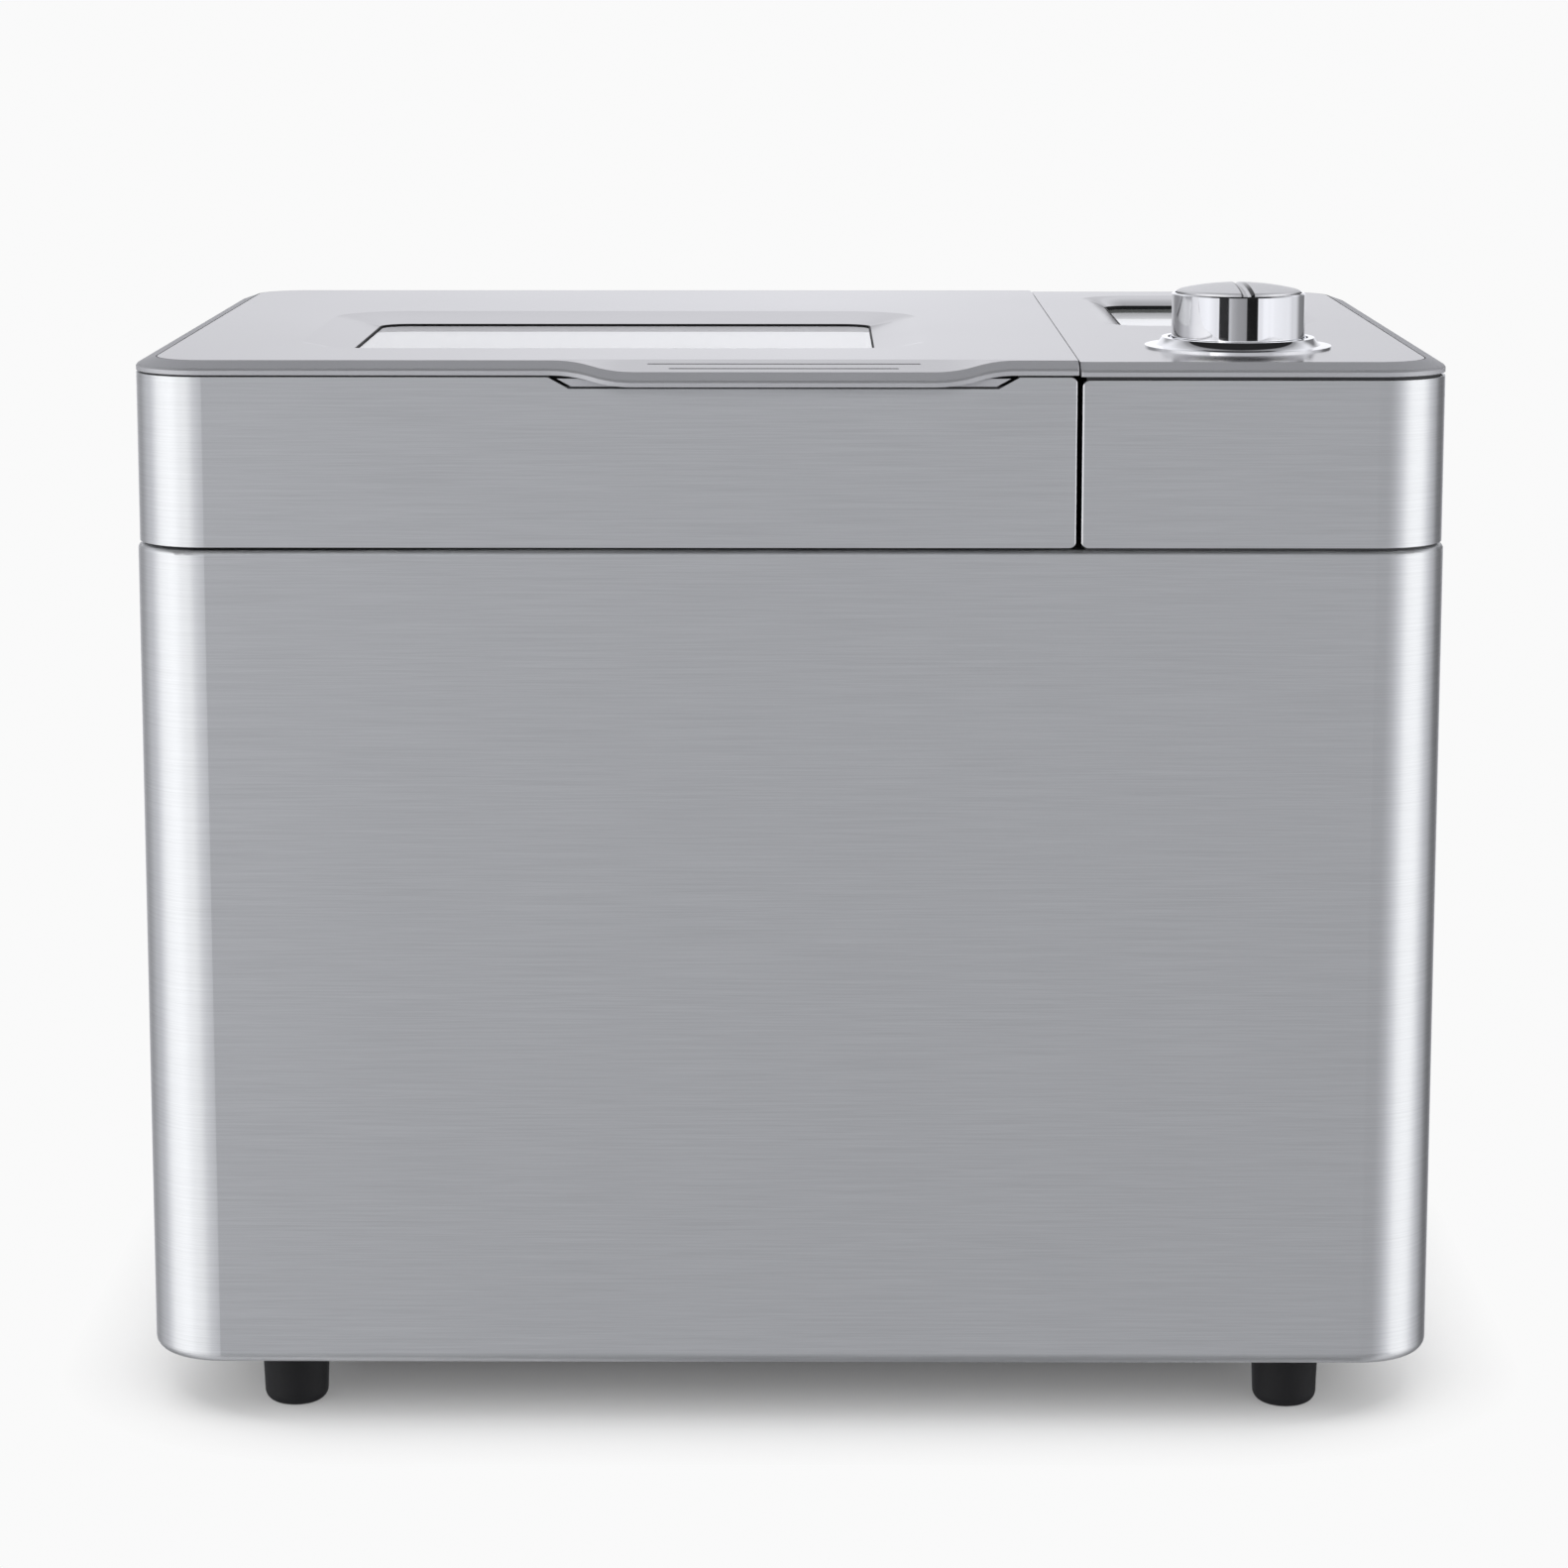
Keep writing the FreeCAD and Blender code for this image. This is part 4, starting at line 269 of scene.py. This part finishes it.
def brushed_cap():
    """Spun finish in rings about the knob's axis, with painted shade on the flanks of the pointer groove."""
    finish = Finish("brushed_cap", (0.68, 0.68, 0.688), 0.30, 1.0)
    centred = finish.nodes.new("ShaderNodeVectorMath")
    centred.operation = "SUBTRACT"
    centred.inputs[1].default_value = (*KNOB_AXIS, 0.0)
    finish.links.new(finish.place, centred.inputs[0])
    flat = finish.nodes.new("ShaderNodeVectorMath")
    flat.operation = "MULTIPLY"
    flat.inputs[1].default_value = (1.0, 1.0, 0.0)
    finish.links.new(centred.outputs["Vector"], flat.inputs[0])
    radius = finish.nodes.new("ShaderNodeVectorMath")
    radius.operation = "LENGTH"
    finish.links.new(flat.outputs["Vector"], radius.inputs[0])
    rings = finish.nodes.new("ShaderNodeTexNoise")
    rings.noise_dimensions = "1D"
    rings.inputs["Scale"].default_value = RING_SCALE
    rings.inputs["Detail"].default_value = 3.0
    finish.links.new(radius.outputs["Value"], rings.inputs["W"])
    # Base colour carries painted shade on the pointer groove's flanks, over the spun rings.
    clear = finish.math("SUBTRACT", 1.0, pointer_painted_shade(finish, flat.outputs["Vector"]))
    finish.tint(finish.math("MULTIPLY", finish.spread(rings.outputs["Fac"], 0.865, 1.0), clear), 0.02, 1.06)
    finish.roughen(rings.outputs["Fac"], 0.22, 0.34)
    finish.bump(rings.outputs["Fac"], 0.00001, 0.4)
    finish.set("Specular Tint", (0.74, 0.74, 0.74, 1.0))
    return finish


def speckled(name, colour, roughness, metallic=0.0, grain=1800.0, depth=0.00002, contrast=0.08):
    """Moulded, cast or coated surface: fine grain, slow clouding, slight relief."""
    finish = Finish(name, colour, roughness, metallic)
    fine = finish.noise((grain, grain, grain), 3.0)
    slow = finish.noise((grain / 60, grain / 60, grain / 60), 3.0)
    mixed = finish.math("ADD", finish.math("MULTIPLY", fine, 0.5), finish.math("MULTIPLY", slow, 0.5))
    finish.tint(finish.spread(mixed, 0.0, 1.0, 0.35, 0.65), 1.0 - contrast, 1.0 + contrast)
    finish.roughen(slow, roughness - 0.05, roughness + 0.05)
    finish.bump(fine, depth, 0.6)
    return finish


def oven_steel():
    """Rolled sheet of the oven and the liner."""
    finish = Finish("oven_steel", (0.52, 0.52, 0.53), 0.34, 1.0)
    rolled = finish.noise((40.0, 900.0, 900.0), 3.0)
    cloud = finish.noise((26.0, 26.0, 26.0), 4.0)
    finish.tint(finish.spread(cloud, 0.0, 1.0), 0.90, 1.06)
    finish.roughen(rolled, 0.28, 0.40)
    finish.bump(rolled, 0.00001, 0.4)
    return finish


def layered(name, colour, roughness, metallic, pitch, depth):
    """Stacked sheets or turns of wire, one layer per pitch in height."""
    finish = Finish(name, colour, roughness, metallic)
    mapping = finish.nodes.new("ShaderNodeMapping")
    mapping.inputs["Scale"].default_value = (0.0, 0.0, 1.0 / pitch)
    finish.links.new(finish.place, mapping.inputs["Vector"])
    wave = finish.nodes.new("ShaderNodeTexWave")
    wave.bands_direction = "Z"
    wave.inputs["Scale"].default_value = WAVE_SCALE
    finish.links.new(mapping.outputs["Vector"], wave.inputs["Vector"])
    cloud = finish.noise((90.0, 90.0, 90.0), 3.0)
    finish.tint(wave.outputs["Fac"], 0.7, 1.1)
    finish.roughen(cloud, roughness - 0.06, roughness + 0.06)
    finish.bump(wave.outputs["Fac"], depth, 0.7)
    return finish


def clear_glass():
    """Window panes with faint smears."""
    finish = Finish("clear_glass", (0.96, 0.97, 0.97), 0.0)
    finish.set("Transmission Weight", 1.0)
    finish.set("IOR", 1.55)
    smear = finish.noise((14.0, 14.0, 14.0), 3.0)
    finish.roughen(smear, 0.0, 0.015)
    return finish


def display_gloss():
    """Grey display under a glossy cover."""
    finish = Finish("display_gloss", (0.30, 0.315, 0.31), 0.10)
    cloud = finish.noise((40.0, 40.0, 40.0), 2.0)
    finish.tint(finish.spread(cloud, 0.0, 1.0), 0.96, 1.04)
    finish.roughen(cloud, 0.06, 0.12)
    finish.set("Coat Weight", 0.6)
    finish.set("Coat Roughness", 0.03)
    return finish


def rubber():
    """Black rubber of the feet and mounts."""
    finish = speckled("black_rubber", (0.010, 0.010, 0.011), 0.62, 0.0, 2200.0, 0.00003, 0.15)
    finish.set("Specular IOR Level", 0.2)
    return finish


FINISHES = {
    "brushed_steel": brushed_steel(),
    "silver_trim": silver_trim(),
    "silver_plate": silver_plate(),
    "chrome": chrome(),
    "brushed_cap": brushed_cap(),
    "black_rubber": rubber(),
    "silicone": speckled("silicone", (0.26, 0.26, 0.27), 0.55, 0.0, 1500.0, 0.00002, 0.06),
    "dark_plastic": speckled("dark_plastic", (0.032, 0.032, 0.035), 0.5, 0.0, 1700.0, 0.00004, 0.12),
    "oven_steel": oven_steel(),
    "heater_sheath": speckled("heater_sheath", (0.12, 0.11, 0.105), 0.45, 0.6, 900.0, 0.00002, 0.2),
    "nonstick": speckled("nonstick", (0.055, 0.055, 0.058), 0.36, 0.0, 2400.0, 0.00002, 0.25),
    "cast_alloy": speckled("cast_alloy", (0.56, 0.56, 0.57), 0.46, 1.0, 1300.0, 0.00005, 0.07),
    "steel": speckled("steel", (0.56, 0.56, 0.575), 0.28, 1.0, 1600.0, 0.000005, 0.04),
    "bronze": speckled("bronze", (0.50, 0.34, 0.16), 0.42, 1.0, 1800.0, 0.00002, 0.1),
    "copper": layered("copper", (0.62, 0.26, 0.13), 0.35, 0.9, 0.0009, 0.0002),
    "laminations": layered("laminations", (0.30, 0.30, 0.32), 0.45, 0.9, 0.0010, 0.0001),
    "clear_glass": clear_glass(),
    "display_gloss": display_gloss(),
    "display_back": speckled("display_back", (0.04, 0.04, 0.045), 0.5, 0.0, 1500.0, 0.00003, 0.1),
    "circuit_board": speckled("circuit_board", (0.03, 0.14, 0.06), 0.35, 0.0, 900.0, 0.00001, 0.1),
}


def dress_nodes():
    """Gives every node its slot's finish."""
    for piece in frame["record"]["subparts"]:
        finish = FINISHES[piece["material_slot"]]
        node = nodes[piece["node"]]
        for slot in node.material_slots:
            slot.material = finish.material


def place(name, mesh, body, slot):
    """Puts a new piece into the scene, riding on a body and wearing a slot's finish."""
    piece = bpy.data.objects.new(name, mesh)
    bpy.context.scene.collection.objects.link(piece)
    mesh.materials.append(FINISHES[slot].material)
    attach(piece, body)
    return piece


def surface(node):
    """Finds points on a node by casting rays at it."""
    mesh = nodes[node].data
    return BVHTree.FromPolygons([v.co for v in mesh.vertices], [p.vertices[:] for p in mesh.polygons])


def ring(bm, radius, height, count=24):
    turns = [2 * math.pi * step / count for step in range(count)]
    return [bm.verts.new((radius * math.cos(turn), radius * math.sin(turn), height)) for turn in turns]


def loop_edges(bm, verts):
    return [bm.edges.new((verts[i - 1], verts[i])) for i in range(len(verts))]


def cross(bm, arm, half, height):
    """Outline of a cross recess."""
    corners = [(arm, -half), (arm, half), (half, half), (half, arm), (-half, arm), (-half, half)]
    corners += [(-x, -y) for x, y in corners]
    return [bm.verts.new((x, y, height)) for x, y in corners]


def head_mesh(name, radius, recess):
    """Domed head of a screw, with a cross recess, or of a rivet."""
    bm = bmesh.new()
    profile = [(1.0, 0.0), (1.0, 0.18), (0.93, 0.34), (0.74, 0.48), (0.55, 0.54)]
    loops = [ring(bm, radius * r, radius * z) for r, z in profile]
    if recess:
        loops.append(cross(bm, radius * 0.42, radius * 0.10, radius * 0.55))
        loops.append(cross(bm, radius * 0.34, radius * 0.08, radius * 0.22))
    else:
        loops.append(ring(bm, radius * 0.25, radius * 0.60))
    edges = [loop_edges(bm, verts) for verts in loops]
    for first, second in zip(edges, edges[1:]):
        bmesh.ops.bridge_loops(bm, edges=first + second)
    bm.faces.new(loops[0])
    bm.faces.new(loops[-1])
    bmesh.ops.recalc_face_normals(bm, faces=bm.faces)
    mesh = bpy.data.meshes.new(name)
    bm.to_mesh(mesh)
    bm.free()
    for face in mesh.polygons:
        face.use_smooth = len(face.vertices) == 4 and not recess
    return mesh


def fasteners(name, node, body, starts, direction, radius, recess=True):
    """Sets fastener heads on a node where rays from the given starts meet it."""
    skin = surface(node)
    aim = Vector(direction)
    for number, start in enumerate(starts, 1):
        spot = skin.ray_cast(Vector(start), aim)[0]
        piece = place(f"{name}_{number}", head_mesh(name, radius, recess), body, "steel")
        piece.location = spot
        piece.rotation_euler = (-aim).to_track_quat("Z", "Y").to_euler()


def groove_shade_strips():
    """Dark strips of painted shade that line the two fine grooves over the finger lip."""
    skin = surface("lid_top_plate")
    half = GROOVE_WIDTH / 2 - SHADE_STRIP_GAP
    under = [(across, rise - SHADE_STRIP_THICKNESS) for across, rise in reversed(SHADE_STRIP_TOP)]
    last = len(SHADE_STRIP_TOP) + len(under) - 1
    for number, (y, length) in enumerate(GROOVES, 1):
        floor_z = skin.ray_cast(Vector((LIP_X, y, OVER_LID)), Vector((0, 0, -1)))[0].z
        bm = bmesh.new()
        rows = []
        for across, rise in SHADE_STRIP_TOP + under:
            reach = length / 2 - SHADE_STRIP_END_GAP - half * abs(across) * SHADE_STRIP_END_SLANT
            ends = [(LIP_X + side * reach, y + across * half, floor_z + rise) for side in (-1, 1)]
            rows.append([bm.verts.new(end) for end in ends])
        for first, second in zip(rows, rows[1:] + rows[:1]):
            bm.faces.new((first[0], first[1], second[1], second[0]))
        for end in range(2):
            strip = [row[end] for row in rows]
            for i in range(len(SHADE_STRIP_TOP) - 1):
                bm.faces.new((strip[i], strip[i + 1], strip[last - i - 1], strip[last - i]))
        bmesh.ops.recalc_face_normals(bm, faces=bm.faces)
        mesh = bpy.data.meshes.new("groove_shade_strip")
        bm.to_mesh(mesh)
        bm.free()
        # Dark plastic strip standing for the painted shade in the groove.
        place(f"groove_shade_strip_{number}", mesh, "lid", "dark_plastic")


def add_pieces():
    """Dark strips of painted shade in the lip grooves, and the heads of the base's and the liner's screws and of
    the ears' rivets.
    """
    groove_shade_strips()
    up = (0, 0, 1)
    starts = [(x, y, UNDER_BASE) for x, y in BASE_SCREWS]
    fasteners("base_screw", "base_plate", "body", starts, up, BASE_SCREW_HEAD)
    starts = [(x, y, UNDER_LINER) for x, y in LINER_SCREWS]
    fasteners("liner_screw", "lid_liner", "lid", starts, up, LINER_SCREW_HEAD)
    x, y = PAN_MIDDLE
    for side, label in ((-1, "left"), (1, "right")):
        starts = [(x + side * BESIDE_PAN, y + shift, RIVET_HEIGHT) for shift in RIVET_SHIFTS]
        fasteners(f"ear_rivet_{label}", "pan_ears", "pan", starts, (-side, 0, 0), RIVET_HEAD, recess=False)


def studio_world():
    """White background; metal also sees soft boxes, dark cards and a ceiling that darkens overhead."""
    world = bpy.data.worlds.new("studio")
    bpy.context.scene.world = world
    world.use_nodes = True
    tree = world.node_tree
    make, join = tree.nodes.new, tree.links.new
    background = tree.nodes["Background"]

    def calc(operation, *values):
        node = make("ShaderNodeMath")
        node.operation = operation
        for socket, value in zip(node.inputs, values):
            if isinstance(value, (int, float)):
                socket.default_value = value
            else:
                join(value, socket)
        return node.outputs["Value"]

    def toward(first, second, rise):
        """Goes from one level to another between two heights, given as sines of the elevation."""
        node = make("ShaderNodeMapRange")
        node.interpolation_type = "SMOOTHSTEP"
        node.inputs["From Min"].default_value, node.inputs["From Max"].default_value = rise
        join(up, node.inputs["Value"])
        share = node.outputs["Result"]
        return calc("ADD", calc("MULTIPLY", first, calc("SUBTRACT", 1.0, share)), calc("MULTIPLY", second, share))

    split = make("ShaderNodeSeparateXYZ")
    join(make("ShaderNodeTexCoord").outputs["Generated"], split.inputs["Vector"])
    across, into, up = split.outputs
    turn = calc("ARCTAN2", across, calc("MULTIPLY", into, -1.0))
    around = calc("ADD", calc("DIVIDE", turn, 2 * math.pi), 0.5)

    room = ramp(tree, around, [(degrees / 360 + 0.5, level / ROOM_PEAK) for degrees, level in ROOM])
    room = calc("MULTIPLY", room, ROOM_PEAK)
    height = calc("ADD", calc("MULTIPLY", up, 0.5), 0.5)
    for stops, band in ((DARK_CARDS, DARK_HEIGHT), (SIDE_CARDS, SIDE_HEIGHT)):
        cards = ramp(tree, around, [(degrees / 360 + 0.5, level) for degrees, level in stops])
        shade = calc("MULTIPLY", cards, ramp(tree, height, band))
        room = calc("MULTIPLY", room, calc("SUBTRACT", 1.0, shade))
    room = calc("MULTIPLY", room, toward(GROUND_SHADE, 1.0, GROUND_RISE))
    over = calc("DIVIDE", calc("ARCTAN2", up, into), math.pi)
    ceiling = ramp(tree, over, [(degrees / 180, level / ROOM_PEAK) for degrees, level in CEILING])
    room = toward(room, calc("MULTIPLY", ceiling, ROOM_PEAK), CEILING_RISE)

    path = make("ShaderNodeLightPath").outputs
    white = calc("MAXIMUM", path["Is Camera Ray"], path["Is Transmission Ray"])
    glossy = calc("MULTIPLY", path["Is Glossy Ray"], calc("SUBTRACT", 1.0, white))
    plain = calc("SUBTRACT", calc("SUBTRACT", 1.0, white), glossy)
    level = calc("MULTIPLY", white, BACKGROUND)
    level = calc("ADD", level, calc("MULTIPLY", glossy, room))
    level = calc("ADD", level, calc("MULTIPLY", plain, WORLD_DIFFUSE))
    join(level, background.inputs["Strength"])
    tint = make("ShaderNodeMix")
    tint.data_type = "RGBA"
    dim = calc("MINIMUM", calc("MAXIMUM", calc("SUBTRACT", COOL_BELOW, room), 0.0), 1.0)
    join(calc("MULTIPLY", glossy, dim), tint.inputs[0])
    tint.inputs[6].default_value = (1.0, 1.0, 1.0, 1.0)
    tint.inputs[7].default_value = (*COOL_GREY, 1.0)
    join(tint.outputs[2], background.inputs["Color"])


def floor():
    """Pale floor that keeps the shadow near the object, fades to the background and isn't seen by metal."""
    mesh = bpy.data.meshes.new("floor")
    reach = FLOOR_REACH
    corners = [(-reach, -reach, 0.0), (reach, -reach, 0.0), (reach, reach, 0.0), (-reach, reach, 0.0)]
    mesh.from_pydata(corners, [], [(0, 1, 2, 3)])
    ground = bpy.data.objects.new("floor", mesh)
    bpy.context.scene.collection.objects.link(ground)
    material = bpy.data.materials.new("floor")
    material.use_nodes = True
    tree = material.node_tree
    tree.nodes.clear()
    make, join = tree.nodes.new, tree.links.new
    output = make("ShaderNodeOutputMaterial")
    paint = make("ShaderNodeBsdfDiffuse")
    paint.inputs["Color"].default_value = (FLOOR_COLOUR, FLOOR_COLOUR, FLOOR_COLOUR, 1.0)
    glow = make("ShaderNodeEmission")
    glow.inputs["Strength"].default_value = BACKGROUND
    clear = make("ShaderNodeBsdfTransparent")
    path = make("ShaderNodeLightPath").outputs

    def vector(operation, first, second):
        node = make("ShaderNodeVectorMath")
        node.operation = operation
        for socket, value in zip(node.inputs, (first, second)):
            if isinstance(value, tuple):
                socket.default_value = value
            else:
                join(value, socket)
        return node

    def mixed(share, first, second):
        node = make("ShaderNodeMixShader")
        join(share, node.inputs[0])
        join(first.outputs[0], node.inputs[1])
        join(second.outputs[0], node.inputs[2])
        return node

    middle = vector("SUBTRACT", make("ShaderNodeNewGeometry").outputs["Position"], SHADOW_MIDDLE)
    folded = vector("ABSOLUTE", middle.outputs[0], (0.0, 0.0, 0.0))
    beyond = vector("SUBTRACT", folded.outputs[0], (*SHADOW_CORE, 0.0))
    beyond = vector("MAXIMUM", beyond.outputs[0], (0.0, 0.0, 0.0))
    away = vector("LENGTH", beyond.outputs[0], (0.0, 0.0, 0.0)).outputs["Value"]
    share = make("ShaderNodeMath")
    share.operation = "DIVIDE"
    share.inputs[1].default_value = SHADOW_REACH
    join(away, share.inputs[0])
    fade = ramp(tree, share.outputs["Value"], SHADOW_FADE)
    seen = make("ShaderNodeMath")
    seen.operation = "MULTIPLY"
    join(fade, seen.inputs[0])
    join(path["Is Camera Ray"], seen.inputs[1])
    shown = mixed(seen.outputs["Value"], paint, glow)
    join(mixed(path["Is Glossy Ray"], shown, clear).outputs[0], output.inputs["Surface"])
    mesh.materials.append(material)


def lamp(name, spot, power):
    """Soft box that isn't seen itself."""
    light = bpy.data.lights.new(name, "AREA")
    light.shape = "SQUARE"
    light.size = LAMP_SIZE
    light.energy = power
    source = bpy.data.objects.new(name, light)
    bpy.context.scene.collection.objects.link(source)
    source.location = spot
    aim = Vector(LAMP_TARGET) - Vector(spot)
    source.rotation_euler = aim.to_track_quat("-Z", "Y").to_euler()
    source.visible_camera = False
    source.visible_glossy = False


def camera():
    """Camera at the photograph's viewing angle."""
    lens = bpy.data.cameras.new("photo")
    lens.sensor_width = SENSOR
    lens.lens = FOCAL_PIXELS * SENSOR / PHOTO_SIDE
    lens.shift_y = CAMERA_SHIFT
    lens.clip_end = CLIP_END
    eye = bpy.data.objects.new("photo", lens)
    bpy.context.scene.collection.objects.link(eye)
    flat = math.cos(CAMERA_PITCH)
    forward = Vector((math.sin(CAMERA_YAW) * flat, math.cos(CAMERA_YAW) * flat, -math.sin(CAMERA_PITCH)))
    eye.location = CAMERA_SPOT
    eye.rotation_euler = forward.to_track_quat("-Z", "Y").to_euler()
    bpy.context.scene.camera = eye


dress_nodes()
add_pieces()
studio_world()
floor()
for lamp_name, lamp_spot, lamp_power in LAMPS:
    lamp(lamp_name, lamp_spot, lamp_power)
camera()
bpy.context.scene.view_settings.view_transform = "Standard"
